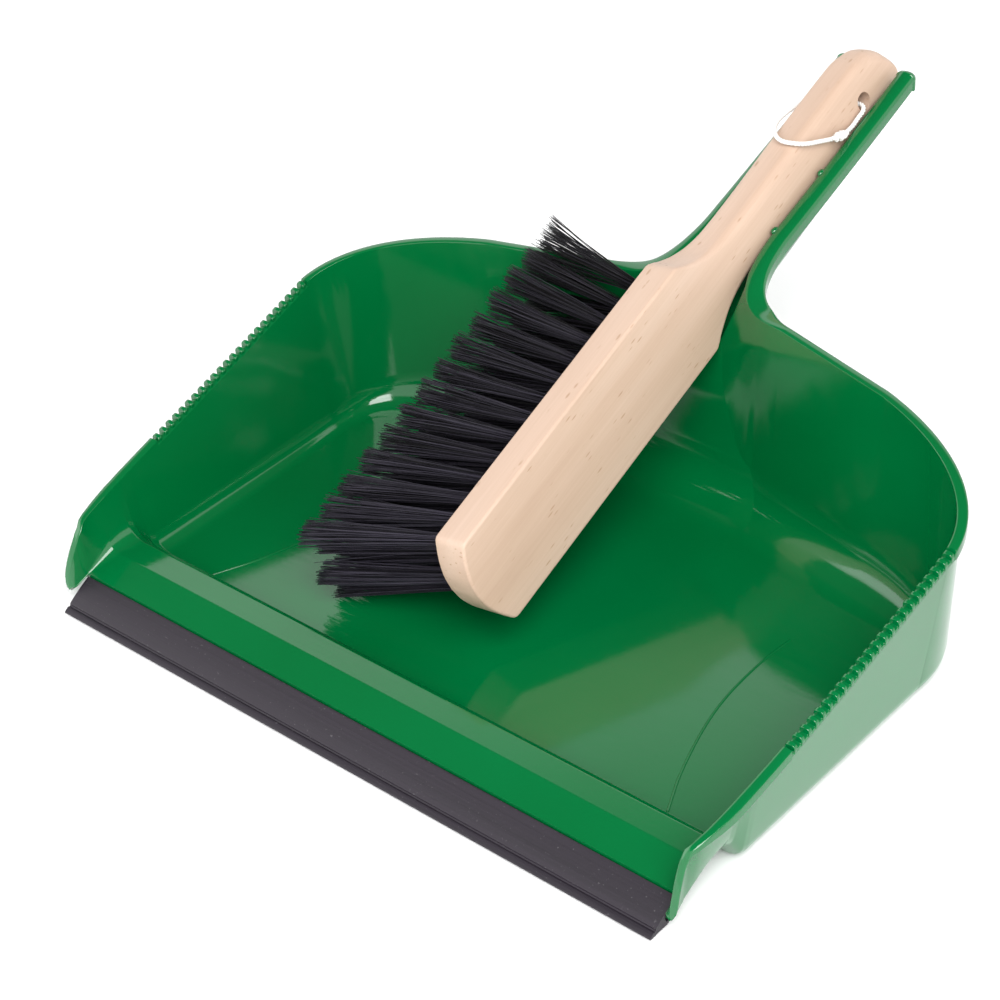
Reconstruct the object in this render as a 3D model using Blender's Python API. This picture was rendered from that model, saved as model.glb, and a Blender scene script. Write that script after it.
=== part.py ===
"""Dust pan with a rubber lip, and the beech hand brush that stores in its handle.

Metres, +Z up. The lip points along -Y, the handle along +Y, and the pan rests on z = 0.
The brush is built in its own frame: X from nose to handle tip, Y across its width, Z from the
bristle face to the back face. One empty carries that frame into the channel of the pan's handle.
"""

import math

import bmesh
import bpy
from mathutils import Matrix, Vector
from mathutils.geometry import interpolate_bezier

MM = 0.001
GAP = 0.3 * MM

# Pan, with y measured from the front edge of the ramp.
FRONT_Y = -162.12 * MM
SHEET = 2.4 * MM
RAMP_LINE = ((0.0, 11.3), (13.3, 15.2), (24.5, 15.3), (27.5, 13.2), (33.5, 4.0), (36.5, 2.4))
RIM_Z = (31.4 * MM, 0.2363, 0.227)
COMB_START_Y = 51.0 * MM
COMB_END_Y = 147.0 * MM
COMB_RIBS = 24
SIDE_RIM = ((151.0, 2.5), (159.2, 147.0))
SIDE_BOW = 2.2 * MM
CORNER_RIM = ((159.2, 147.0), (157.4, 166.0), (137.0, 185.0), (98.6, 195.5))
BACK_RIM = ((98.6, 195.5), (46.0, 206.0))
NECK_RIM = ((46.0, 206.0), (27.0, 208.8), (13.0, 213.5), (11.4, 246.0))
HANDLE_RIM = ((11.4, 246.0), (10.9, 337.5))
RIM_WIDTH = 4.2 * MM
HANDLE_RIM_WIDTH = 7.2 * MM
RIM_DROP = 3.6 * MM
HANDLE_RIM_DROP = 6.0 * MM
CHANNEL_DEPTH_AT_MOUTH = 22.0 * MM
CHANNEL_DEPTH_AT_END = 14.5 * MM
CHANNEL_MOUTH_Y = 209.0 * MM
BACK_WALL_LEAN = 0.085
CHEEK_FRONT = ((3.0, 31.6), (-1.6, 27.5), (-5.6, 18.5), (-8.2, 9.0), (-7.8, 6.6), (-6.4, 5.6))
CHEEK_BACK = ((-0.7, 10.2), (6.0, 12.6), (14.0, 13.4), (14.0, 24.0))
CHEEK_INSIDE = 149.3 * MM
CHEEK_OUTSIDE = 153.4 * MM
NUB_YS = (249.0 * MM, 281.5 * MM)

# Rubber lip: a wedge with a slot that the tongue of the pan sits in.
LIP_TOP = Vector((-0.5, 10.3)) * MM
LIP_SLOPE = math.radians(30.0)
LIP_LENGTH = 17.4 * MM
TONGUE_DEPTH = 1.9 * MM
TONGUE_THICKNESS = 1.6 * MM
TONGUE_LENGTH = 8.0 * MM

# Brush, in its own frame.
BRUSH_ORIGIN = Vector((-3.0, 64.7, 36.65)) * MM
BRUSH_YAW = math.radians(1.35)
BRUSH_PITCH = math.radians(20.4)
BRUSH_ROLL = math.radians(14.8)
BLOCK_THICKNESS = 16.5 * MM
NOSE_LENGTH = 7.0 * MM
HEAD_LENGTH = 143.0 * MM
BLOCK_LENGTH = 293.0 * MM
EDGE_ROUND = 1.2 * MM
GRIP_ROUND = 4.0 * MM
HANG_HOLE_PLACE = (270.0 * MM, -3.5 * MM)
HANG_HOLE_DIAMETER = 8.0 * MM

# Bristle tufts: four rows, the odd rows one tuft longer.
TUFTS_IN_LONG_ROW = 14
TUFT_ROWS_Y = (16.0 * MM, 5.4 * MM, -5.4 * MM, -16.0 * MM)
TUFT_FIRST_X = 5.0 * MM
TUFT_LAST_X = 137.0 * MM
TUFT_HOLE_DIAMETER = 5.2 * MM
TUFT_HOLE_DEPTH = 9.0 * MM
TUFT_ROOT_RADIUS = 2.15 * MM
BRISTLE_LENGTH = 62.0 * MM
TIP_EDGE_Y = 28.0 * MM
TIP_FIRST_X = -11.0 * MM
TIP_LAST_X = (140.0 * MM, 132.0 * MM, 125.0 * MM, 119.0 * MM)
BRISTLE_FLOOR_GAP = 1.0 * MM

# Hanging string. The route runs from the knot through the hole and round the upper edge.
STRING_DIAMETER = 1.8 * MM
KNOT_CENTRE = Vector((247.4, -1.6, 19.8)) * MM
KNOT_RADII = Vector((3.6, 2.6, 2.6)) * MM
STRING_ROUTE = (
    (251.6, -3.6, 19.2),
    (256.5, -5.0, 18.4),
    (261.5, -4.9, 18.3),
    (265.8, -4.7, 18.3),
    (268.6, -4.4, 16.2),
    (269.4, -4.0, 12.0),
    (269.4, -3.7, 7.0),
    (269.2, -3.4, 3.0),
    (268.6, -2.4, -0.9),
    (265.4, 1.0, -1.9),
    (259.0, 5.6, -1.9),
    (249.0, 9.8, -1.9),
    (239.0, 12.4, -1.0),
    (231.5, 13.8, 3.5),
    (227.0, 14.1, 10.0),
    (227.4, 12.6, 16.2),
    (231.0, 9.2, 18.6),
    (237.0, 4.8, 18.8),
    (243.0, 0.6, 19.2),
)


def clear_scene():
    for obj in list(bpy.data.objects):
        bpy.data.objects.remove(obj, do_unlink=True)


def material(name, color, roughness, metallic=0.0):
    made = bpy.data.materials.new(name)
    made.use_nodes = True
    shader = made.node_tree.nodes["Principled BSDF"]
    shader.inputs["Base Color"].default_value = (*color, 1.0)
    shader.inputs["Roughness"].default_value = roughness
    shader.inputs["Metallic"].default_value = metallic
    return made


def green_plastic():
    return material("green_polypropylene", (0.0, 0.20, 0.055), 0.25)


def black_rubber():
    return material("black_rubber", (0.055, 0.045, 0.06), 0.6)


def beech():
    return material("beech", (0.72, 0.50, 0.33), 0.5)


def black_filament():
    return material("black_filament", (0.02, 0.018, 0.024), 0.45)


def white_cotton():
    return material("white_cotton", (0.85, 0.83, 0.8), 0.9)


def object_from(name, points, faces, mat, smooth=False):
    mesh = bpy.data.meshes.new(name)
    mesh.from_pydata([tuple(point) for point in points], [], faces)
    work = bmesh.new()
    work.from_mesh(mesh)
    bmesh.ops.remove_doubles(work, verts=work.verts, dist=0.001 * MM)
    bmesh.ops.recalc_face_normals(work, faces=work.faces)
    if work.calc_volume(signed=True) < 0:
        bmesh.ops.reverse_faces(work, faces=work.faces)
    work.to_mesh(mesh)
    work.free()
    mesh.materials.append(mat)
    for polygon in mesh.polygons:
        polygon.use_smooth = smooth
    made = bpy.data.objects.new(name, mesh)
    bpy.context.scene.collection.objects.link(made)
    return made


def prism(name, outline, along, mat):
    """A closed solid: the outline's points, and the same points moved by the vector along."""
    count = len(outline)
    points = list(outline) + [point + along for point in outline]
    faces = [tuple(range(count)), tuple(range(2 * count - 1, count - 1, -1))]
    for i in range(count):
        j = (i + 1) % count
        faces.append((i, j, j + count, i + count))
    return object_from(name, points, faces, mat)


def combine(target, others, operation):
    """One Boolean with each of the others, kept as hidden helpers."""
    for other in others:
        modifier = target.modifiers.new(other.name, "BOOLEAN")
        modifier.operation = operation
        modifier.solver = "EXACT"
        modifier.object = other
        other.hide_render = True
        other.display_type = "WIRE"


# ---------------------------------------------------------------- pan


def rim_height(y):
    """Height of the rim: it climbs all the way from the front tips to the end of the handle."""
    return RIM_Z[0] + RIM_Z[1] * y + RIM_Z[2] * y * y


def ramp_height(y):
    """Top of the floor: the ramp behind the lip, then the flat floor."""
    points = [(py * MM, pz * MM) for py, pz in RAMP_LINE]
    for (y0, z0), (y1, z1) in zip(points, points[1:]):
        if y <= y1:
            return z0 + (z1 - z0) * max(0.0, (y - y0) / (y1 - y0))
    return points[-1][1]


def channel_height(y):
    """Floor of the channel in the handle: deep at its mouth, shallower towards the end."""
    share = (y - CHANNEL_MOUTH_Y) / (HANDLE_RIM[1][1] * MM - CHANNEL_MOUTH_Y)
    depth = CHANNEL_DEPTH_AT_MOUTH + (CHANNEL_DEPTH_AT_END - CHANNEL_DEPTH_AT_MOUTH) * share
    return rim_height(y) - depth


def line_points(ends, count):
    first, last = (Vector(end) * MM for end in ends)
    return [first.lerp(last, i / count) for i in range(count)]


def bezier_points(controls, count):
    first, out_handle, in_handle, last = (Vector(point) * MM for point in controls)
    return list(interpolate_bezier(first, out_handle, in_handle, last, count + 1))[:-1]


def side_rim_point(y):
    """Inner edge of a side's rim, which bows outwards a little between its two ends."""
    front, back = (Vector(end) * MM for end in SIDE_RIM)
    share = max(0.0, (y - front.y) / (back.y - front.y))
    return front.lerp(back, share) + Vector((SIDE_BOW * 4 * share * (1 - share), 0.0))


def side_stations():
    """(base corner, rim point, fillet radius, share of the way to the handle's rim), front to back."""
    ys = [0.0, 6.5, 13.3, 19.0, 24.5, 27.5, 30.5, 33.5, 36.5, 51.0, 75.0, 99.0, 123.0]
    stations = []
    for y in (value * MM for value in ys):
        rim = side_rim_point(y)
        base_x = 149.2 * MM - 0.9 * MM * min(1.0, y / (36.5 * MM)) + 0.011 * y
        fillet = min(14.0 * MM, 1.0 * MM + 0.35 * y + max(0.0, y - 27.0 * MM) * 0.5)
        stations.append((Vector((base_x, y, ramp_height(y))), rim, fillet, 0.0))
    return stations


def corner_and_back_stations():
    base_corner = ((150.0, 143.0), (153.0, 173.0), (138.0, 183.0), (96.0, 188.8))
    base_back = ((96.0, 188.8), (44.0, 198.6))
    rims = bezier_points(CORNER_RIM, 8) + line_points(BACK_RIM, 3)
    bases = bezier_points(base_corner, 8) + line_points(base_back, 3)
    stations = []
    for i, (base, rim) in enumerate(zip(bases, rims)):
        fillet = (14.0 + 18.0 * min(1.0, i / 7.0)) * MM
        stations.append((Vector((base.x, base.y, SHEET)), rim, fillet, 0.0))
    return stations


def neck_stations():
    """Here the base leaves the floor and climbs the back wall to the floor of the channel."""
    rims = bezier_points(NECK_RIM, 10)
    mouth_z = channel_height(CHANNEL_MOUTH_Y)
    climb = ((44.0, 0.0), (35.0, 0.0), (26.5, 0.02), (19.5, 0.18), (14.5, 0.45))
    climb += ((12.3, 0.72), (11.5, 0.92), (11.2, 1.0))
    last_y = rims[-1].y
    stations = []
    for i, rim in enumerate(rims):
        if i < len(climb):
            x, rise = climb[i]
            z = SHEET + (mouth_z - SHEET) * rise
            y = 198.6 * MM + 0.19 * (44.0 - x) * MM + BACK_WALL_LEAN * (z - SHEET)
            if rise == 1.0:
                y = CHANNEL_MOUTH_Y + 1.5 * MM
                z = channel_height(y)
            base = Vector((x * MM, y, z))
        else:
            share = (i - len(climb) + 1) / (len(rims) - len(climb) + 1)
            y = CHANNEL_MOUTH_Y + (last_y - CHANNEL_MOUTH_Y) * share
            base = Vector((11.1 * MM, y, channel_height(y)))
        fillet = max(2.0, 32.0 - 8.0 * i) * MM
        stations.append((base, rim, fillet, min(1.0, i / 6.0)))
    return stations


def handle_stations():
    count = 5
    first, last = (Vector(end) * MM for end in HANDLE_RIM)
    stations = []
    for i in range(count + 1):
        rim = first.lerp(last, i / count)
        base = Vector((rim.x - 0.4 * MM, rim.y, channel_height(rim.y)))
        stations.append((base, rim, 2.0 * MM, 1.0))
    return stations


def across(points, i):
    """Unit normal of a plan curve at point i, to the right of its direction of travel."""
    before = points[max(i - 1, 0)]
    after = points[min(i + 1, len(points) - 1)]
    travel = Vector((after[0] - before[0], after[1] - before[1]))
    return Vector((travel.y, -travel.x, 0.0)).normalized()


def mix(side_value, handle_value, spread):
    return side_value + (handle_value - side_value) * spread


def wall_profile(base, rim, fillet, spread, base_out, rim_out):
    """One section of the wall, from the top of the floor over the rolled rim to its underside."""
    width = mix(RIM_WIDTH, HANDLE_RIM_WIDTH, spread)
    drop = mix(RIM_DROP, HANDLE_RIM_DROP, spread)
    bulge = mix(1.4 * MM, 3.2 * MM, spread)
    up = Vector((0.0, 0.0, 1.0))
    top = Vector((rim.x, rim.y, rim_height(rim.y))) - up * mix(0.0, 1.6 * MM, spread)
    climb = (top - base).normalized()
    floor_edge = base - base_out * fillet
    points = []
    for t in (0.0, 0.3, 0.6, 1.0):
        low = floor_edge.lerp(base, t)
        points.append(low.lerp(base.lerp(base + climb * fillet, t), t))
    for angle in (0.0, 45.0, 90.0, 135.0, 180.0):
        turn = math.radians(angle)
        across_step = rim_out * (width / 2 * (1 - math.cos(turn)))
        points.append(top + across_step + up * (bulge * math.sin(turn)))
    points.append(top + rim_out * width - up * drop)
    points.append(top + rim_out * mix(SHEET + 1.0 * MM, width - 1.4 * MM, spread) - up * drop)
    under_roll = mix(drop - 0.4 * MM, 1.6 * MM, spread)
    points.append(top + rim_out * mix(SHEET + 0.6 * MM, width - 1.8 * MM, spread) - up * under_roll)
    skin_top = top + rim_out * SHEET - climb * mix(drop + 0.6 * MM, 2.2 * MM, spread)
    points.append(skin_top)
    foot = base + base_out * SHEET - up * SHEET
    outer_climb = (skin_top - foot).normalized()
    reach = min(fillet, 10.0 * MM, (skin_top - foot).length * 0.5)
    bend = foot - base_out * reach
    for t in (1.0, 0.6, 0.3, 0.0):
        low = bend.lerp(foot, t)
        points.append(low.lerp(foot.lerp(foot + outer_climb * reach, t), t))
    return points


def pan_rings():
    """Wall sections of the right half, front to back and out along the handle."""
    stations = side_stations() + corner_and_back_stations() + neck_stations() + handle_stations()
    bases = [station[0] for station in stations]
    rims = [station[1] for station in stations]
    rings = []
    for i, (base, rim, fillet, spread) in enumerate(stations):
        rim_out = across(rims, i)
        base_out = across(bases, i) if spread == 0.0 else rim_out
        ring = wall_profile(base, rim, fillet, spread, base_out, rim_out)
        rings.append([point + Vector((0.0, FRONT_Y, 0.0)) for point in ring])
    return rings


def pan_shell(name, mat):
    """Both halves of the wall, joined by rows of floor, back wall and channel between them."""
    rings = pan_rings()
    size = len(rings[0])
    count = len(rings)
    points = []
    for sign in (1, -1):
        for ring in rings:
            points += [(sign * point.x, point.y, point.z) for point in ring]
    faces = []
    left = count * size
    last = (count - 1) * size
    for side in (0, left):
        for i in range(count - 1):
            for j in range(size - 1):
                a = side + i * size + j
                faces.append((a, a + size, a + size + 1, a + 1))
        for end in (0, last):
            faces.append(tuple(side + end + j for j in range(size)))
    for i in range(count - 1):
        for j in (0, size - 1):
            a = i * size + j
            faces.append((a, left + a, left + a + size, a + size))
    for end in (0, last):
        faces.append((end, end + size - 1, left + end + size - 1, left + end))
    return object_from(name, points, faces, mat, smooth=True)


def side_outline(pairs, x):
    return [Vector((x, FRONT_Y + y, z)) for y, z in pairs]


def cheek(sign, mat):
    """The front tip of a side wall, which closes the end of the rubber lip."""
    pairs = [(y * MM, z * MM) for y, z in CHEEK_FRONT + CHEEK_BACK]
    outline = side_outline(pairs, sign * CHEEK_INSIDE)
    thickness = Vector((sign * (CHEEK_OUTSIDE - CHEEK_INSIDE), 0.0, 0.0))
    return prism("cheek_right" if sign > 0 else "cheek_left", outline, thickness, mat)


def lip_point(along, below):
    """A point (y, z) of the lip's section: so far down its sloping top, so far below it."""
    down = Vector((-math.cos(LIP_SLOPE), -math.sin(LIP_SLOPE)))
    under = Vector((math.sin(LIP_SLOPE), -math.cos(LIP_SLOPE)))
    return LIP_TOP + down * along + under * below


def lip_outline(places, x):
    return side_outline([lip_point(along * MM, below * MM) for along, below in places], x)


def tongue(mat):
    """The thin front edge of the pan that the rubber lip is pushed on to."""
    half = CHEEK_OUTSIDE - 1.5 * MM
    top = TONGUE_DEPTH / MM
    low = (TONGUE_DEPTH + TONGUE_THICKNESS) / MM
    reach = TONGUE_LENGTH / MM
    outline = lip_outline([(-4.0, top), (reach, top), (reach, low), (-4.0, low)], -half)
    return prism("tongue", outline, Vector((2 * half, 0.0, 0.0)), mat)


def comb_ribs(mat):
    """The row of short ribs across each rim that combs fluff out of the bristles."""
    points = []
    faces = []
    pitch = (COMB_END_Y - COMB_START_Y) / COMB_RIBS
    half_thickness = 0.7 * MM
    for sign in (1, -1):
        for i in range(COMB_RIBS):
            y = COMB_START_Y + pitch * (i + 0.5)
            x = side_rim_point(y).x
            z = rim_height(y)
            section = (
                (x + 0.9 * MM, z - 1.0 * MM),
                (x + 0.9 * MM, z + 1.6 * MM),
                (x + 1.8 * MM, z + 2.5 * MM),
                (x + RIM_WIDTH + 0.2 * MM, z + 2.1 * MM),
                (x + RIM_WIDTH + 1.2 * MM, z + 0.9 * MM),
                (x + RIM_WIDTH + 1.2 * MM, z - 3.0 * MM),
                (x + RIM_WIDTH - 0.9 * MM, z - 3.3 * MM),
            )
            start = len(points)
            count = len(section)
            for edge_y in (y - half_thickness, y + half_thickness):
                points += [(sign * px, FRONT_Y + edge_y, pz) for px, pz in section]
            faces.append(tuple(start + j for j in range(count)))
            faces.append(tuple(start + count + j for j in reversed(range(count))))
            for j in range(count):
                k = (j + 1) % count
                faces.append((start + j, start + k, start + count + k, start + count + j))
    return object_from("comb_ribs", points, faces, mat)


def channel_nub(sign, y, mat):
    """A small bump inside the channel that steadies the brush handle."""
    x = sign * (HANDLE_RIM[0][0] * MM + 0.6 * MM)
    z = rim_height(y) - 6.0 * MM
    outline = [
        Vector((x, FRONT_Y + y - 3.0 * MM, z)),
        Vector((x - sign * 1.3 * MM, FRONT_Y + y - 0.8 * MM, z)),
        Vector((x - sign * 1.3 * MM, FRONT_Y + y + 0.8 * MM, z)),
        Vector((x, FRONT_Y + y + 3.0 * MM, z)),
    ]
    return prism(f"nub_{sign}_{round(y / MM)}", outline, Vector((0.0, 0.6 * MM, 2.6 * MM)), mat)


def make_dustpan():
    mat = green_plastic()
    pan = pan_shell("dustpan", mat)
    additions = [cheek(1, mat), cheek(-1, mat), tongue(mat), comb_ribs(mat)]
    additions += [channel_nub(sign, y, mat) for sign in (1, -1) for y in NUB_YS]
    combine(pan, additions, "UNION")
    return pan


def make_rubber_lip():
    half = CHEEK_INSIDE - GAP
    slot_top = TONGUE_DEPTH / MM - 0.3
    slot_low = (TONGUE_DEPTH + TONGUE_THICKNESS) / MM + 0.3
    slot_end = TONGUE_LENGTH / MM + 0.4
    tip = LIP_LENGTH / MM
    places = [
        (0.0, 0.0),
        (13.6, 0.0),
        (14.2, 0.5),
        (14.8, 0.1),
        (tip, 0.4),
        (tip, 1.1),
        (13.4, 3.0),
        (9.6, 5.6),
        (4.2, 5.6),
        (0.6, 5.2),
        (0.6, slot_low),
        (slot_end, slot_low),
        (slot_end, slot_top),
        (1.0, slot_top),
    ]
    outline = lip_outline(places, -half)
    return prism("rubber_lip", outline, Vector((2 * half, 0.0, 0.0)), black_rubber())


# ---------------------------------------------------------------- brush


def brush_frame():
    """Empty whose axes are the brush's: along it, across it, and out of its back face."""
    along = Vector((-math.sin(BRUSH_YAW) * math.cos(BRUSH_PITCH), 0.0, math.sin(BRUSH_PITCH)))
    along.y = math.cos(BRUSH_YAW) * math.cos(BRUSH_PITCH)
    level = along.cross(Vector((0.0, 0.0, 1.0))).normalized()
    back = Matrix.Rotation(-BRUSH_ROLL, 3, along) @ level
    across_brush = back.cross(along)
    frame = Matrix((along, across_brush, back)).transposed().to_4x4()
    frame.translation = BRUSH_ORIGIN + Vector((0.0, FRONT_Y, 0.0))
    empty = bpy.data.objects.new("brush_frame", None)
    empty.matrix_world = frame
    bpy.context.scene.collection.objects.link(empty)
    return empty


def block_outline():
    """Half of the block's plan, nose to tip, as (x, y) with y towards the upper edge."""
    nose = [(-NOSE_LENGTH / MM, 0.0), (-6.2, 3.2), (-0.9, 19.4), (1.6, 22.0)]
    shoulder = [(HEAD_LENGTH / MM, 22.0), (149.5, 18.4), (157.0, 14.7), (166.0, 12.4)]
    grip = [(178.0, 11.5), (200.0, 11.4), (230.0, 12.0), (258.0, 12.0)]
    tip = [(278.0, 11.8), (286.5, 10.3), (291.4, 6.2), (BLOCK_LENGTH / MM, 0.0)]
    return [Vector((x, y)) * MM for x, y in nose + shoulder + grip + tip]


def edge_round(x):
    """The head has crisp edges; the grip's are well rounded."""
    share = max(0.0, min(1.0, (x - 146.0 * MM) / (34.0 * MM)))
    return EDGE_ROUND + (GRIP_ROUND - EDGE_ROUND) * share * share * (3 - 2 * share)


def rounded_slab(name, outline, thickness, mat):
    """A slab with this closed outline, whose upper and lower edges are rounded by edge_round."""
    count = len(outline)
    insets = []
    for i, point in enumerate(outline):
        before = (point - outline[i - 1]).normalized()
        after = (outline[(i + 1) % count] - point).normalized()
        inward = Vector((-before.y - after.y, before.x + after.x)).normalized()
        cosine = max(0.6, inward.dot(Vector((-after.y, after.x))))
        insets.append(inward / cosine)
    points = []
    steps = (0.0, 30.0, 60.0, 90.0)
    for upper in (False, True):
        for angle in steps if not upper else reversed(steps):
            turn = math.radians(angle)
            for point, inset in zip(outline, insets):
                radius = edge_round(point.x)
                moved = point + inset * (radius * (1 - math.sin(turn)))
                height = radius * (1 - math.cos(turn))
                points.append((moved.x, moved.y, thickness - height if upper else height))
    rows = 2 * len(steps)
    faces = [tuple(range(count)), tuple((rows - 1) * count + i for i in range(count))]
    for row in range(rows - 1):
        for i in range(count):
            j = (i + 1) % count
            a = row * count
            faces.append((a + i, a + j, a + count + j, a + count + i))
    return object_from(name, points, faces, mat, smooth=True)


def drill(name, centres, low, high, diameter, sides, mat):
    """Round cutters through these (x, y) places of the block, from height low to high."""
    points = []
    faces = []
    for centre in centres:
        start = len(points)
        for z in (low, high):
            for i in range(sides):
                turn = math.tau * i / sides
                x = centre[0] + diameter / 2 * math.cos(turn)
                points.append((x, centre[1] + diameter / 2 * math.sin(turn), z))
        faces.append(tuple(start + i for i in reversed(range(sides))))
        faces.append(tuple(start + sides + i for i in range(sides)))
        for i in range(sides):
            j = (i + 1) % sides
            faces.append((start + i, start + j, start + sides + j, start + sides + i))
    return object_from(name, points, faces, mat)


def tuft_places():
    """(row, x, y, share along the row) of every tuft; each short row stands between the long ones."""
    places = []
    pitch = (TUFT_LAST_X - TUFT_FIRST_X) / (TUFTS_IN_LONG_ROW - 1)
    for row, y in enumerate(TUFT_ROWS_Y):
        short = row % 2
        for i in range(TUFTS_IN_LONG_ROW - short):
            x = TUFT_FIRST_X + pitch * (i + 0.5 * short)
            places.append((row, x, y, (i + 0.5 * short) / (TUFTS_IN_LONG_ROW - 1)))
    return places


def make_brush_block(frame):
    mat = beech()
    upper = block_outline()
    lower = [Vector((point.x, -point.y)) for point in upper[1:-1]]
    block = rounded_slab("brush_block", lower + upper[::-1], BLOCK_THICKNESS, mat)
    centres = [(x, y) for _, x, y, _ in tuft_places()]
    over = 2.0 * MM
    tuft_drill = drill(
        "tuft_drill", centres, -over, TUFT_HOLE_DEPTH, TUFT_HOLE_DIAMETER, 10, mat
    )
    hole_drill = drill(
        "hang_hole_drill",
        [HANG_HOLE_PLACE],
        -over,
        BLOCK_THICKNESS + over,
        HANG_HOLE_DIAMETER,
        20,
        mat,
    )
    for piece in (block, tuft_drill, hole_drill):
        piece.parent = frame
    combine(block, [tuft_drill, hole_drill], "DIFFERENCE")
    return block


def tip_band(frame, x):
    """Lowest tip edge and row height there, so that the tips stay above the floor of the pan."""
    axes = frame.matrix_world
    floor = SHEET + BRISTLE_FLOOR_GAP - axes[2][3]
    lowest = (floor - axes[2][0] * x + axes[2][2] * BRISTLE_LENGTH) / axes[2][1]
    lowest = max(-TIP_EDGE_Y, lowest)
    return lowest, (TIP_EDGE_Y - lowest) / len(TUFT_ROWS_Y)


def make_tuft(frame, row, number, root, share, mat):
    """One bundle of filaments: round in its hole, fanned out to a flat oval at the tips."""
    last = TIP_LAST_X[row]
    tip_x = TIP_FIRST_X + (last - TIP_FIRST_X) * share
    _, band = tip_band(frame, tip_x)
    tip_y = TIP_EDGE_Y - band * (row + 0.5)
    tip_half = Vector((0.46 * (last - TIP_FIRST_X) / (TUFTS_IN_LONG_ROW - 1), 0.46 * band))
    levels = [(TUFT_HOLE_DEPTH - GAP, 0.0), (-0.5 * MM, 0.0)]
    levels += [(-BRISTLE_LENGTH * 0.45, 0.45), (-BRISTLE_LENGTH, 1.0)]
    sides = 8
    points = []
    for z, fan in levels:
        x = root[0] + (tip_x - root[0]) * fan
        y = root[1] + (tip_y - root[1]) * fan
        half_x = TUFT_ROOT_RADIUS + (tip_half.x - TUFT_ROOT_RADIUS) * fan
        half_y = TUFT_ROOT_RADIUS + (tip_half.y - TUFT_ROOT_RADIUS) * fan
        for i in range(sides):
            turn = math.tau * (i + 0.5) / sides
            points.append((x + half_x * math.cos(turn), y + half_y * math.sin(turn), z))
    faces = [tuple(range(sides)), tuple(3 * sides + i for i in range(sides))]
    for level in range(len(levels) - 1):
        for i in range(sides):
            j = (i + 1) % sides
            a = level * sides
            faces.append((a + i, a + j, a + sides + j, a + sides + i))
    name = f"bristle_tuft_{row + 1}_{number:02d}"
    tuft = object_from(name, points, faces, mat, smooth=True)
    tuft.parent = frame
    return tuft


def make_tufts(frame):
    mat = black_filament()
    number = {}
    for row, x, y, share in tuft_places():
        number[row] = number.get(row, 0) + 1
        make_tuft(frame, row, number[row], (x, y), share, mat)


def smooth_route(route, spacing):
    """Points at this spacing on the smooth curve through the route."""
    ends = [route[0] * 2 - route[1]] + list(route) + [route[-1] * 2 - route[-2]]
    dense = []
    for a, b, c, d in zip(ends, ends[1:], ends[2:], ends[3:]):
        for step in range(20):
            t = step / 20
            smooth = b * 2 + (c - a) * t + (a * 2 - b * 5 + c * 4 - d) * t**2
            dense.append((smooth + (b * 3 - a - c * 3 + d) * t**3) / 2)
    dense.append(route[-1])
    points = [dense[0]]
    for point in dense[1:]:
        if (point - points[-1]).length >= spacing:
            points.append(point)
    return points


def make_hang_cord(frame, mat):
    route = [Vector(point) * MM for point in STRING_ROUTE]
    points = smooth_route(route, 2.2 * STRING_DIAMETER)
    curve = bpy.data.curves.new("hang_cord", "CURVE")
    curve.dimensions = "3D"
    curve.bevel_depth = STRING_DIAMETER / 2
    curve.bevel_resolution = 2
    curve.use_fill_caps = True
    spline = curve.splines.new("POLY")
    spline.points.add(len(points) - 1)
    for place, point in zip(spline.points, points):
        place.co = (*point, 1.0)
    curve.materials.append(mat)
    cord = bpy.data.objects.new("hang_cord", curve)
    bpy.context.scene.collection.objects.link(cord)
    cord.parent = frame
    return cord


def make_knot(frame, mat):
    """The overhand knot that joins the two ends of the string."""
    work = bmesh.new()
    bmesh.ops.create_uvsphere(work, u_segments=12, v_segments=8, radius=1.0)
    along = (Vector(STRING_ROUTE[0]) - Vector(STRING_ROUTE[-1])).normalized()
    turn = Vector((1.0, 0.0, 0.0)).rotation_difference(along).to_matrix()
    points = []
    for vertex in work.verts:
        scaled = Vector([value * radius for value, radius in zip(vertex.co, KNOT_RADII)])
        points.append(KNOT_CENTRE + turn @ scaled)
    faces = [tuple(vertex.index for vertex in face.verts) for face in work.faces]
    work.free()
    knot = object_from("hang_cord_knot", points, faces, mat, smooth=True)
    knot.parent = frame
    return knot


def main():
    clear_scene()
    make_dustpan()
    make_rubber_lip()
    frame = brush_frame()
    make_brush_block(frame)
    make_tufts(frame)
    cotton = white_cotton()
    make_hang_cord(frame, cotton)
    make_knot(frame, cotton)


main()
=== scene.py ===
"""The looks of the dustpan and brush set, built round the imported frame.

Metres, +Z up. The rubber lip points along -Y, the handle along +Y, and the pan rests on z = 0.
A length with MM is in metres. Outlines, routes and lengths without MM are in millimetres.
"""

import math
import random

import bmesh
import bpy
from mathutils import Matrix, Vector, noise


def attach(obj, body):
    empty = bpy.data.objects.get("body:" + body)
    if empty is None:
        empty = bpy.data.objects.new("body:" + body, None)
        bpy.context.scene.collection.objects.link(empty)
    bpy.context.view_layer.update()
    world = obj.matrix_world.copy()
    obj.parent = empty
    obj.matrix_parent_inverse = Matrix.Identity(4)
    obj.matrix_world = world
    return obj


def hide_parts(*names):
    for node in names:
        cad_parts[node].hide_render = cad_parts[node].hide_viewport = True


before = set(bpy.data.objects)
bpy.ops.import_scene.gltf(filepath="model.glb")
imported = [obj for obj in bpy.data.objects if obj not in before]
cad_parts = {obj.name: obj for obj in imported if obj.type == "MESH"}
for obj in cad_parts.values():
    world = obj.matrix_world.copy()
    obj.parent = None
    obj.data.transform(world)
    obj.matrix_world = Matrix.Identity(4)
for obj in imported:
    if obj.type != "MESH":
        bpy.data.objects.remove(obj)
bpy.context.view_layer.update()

MM = 0.001
UP = Vector((0.0, 0.0, 1.0))

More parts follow.
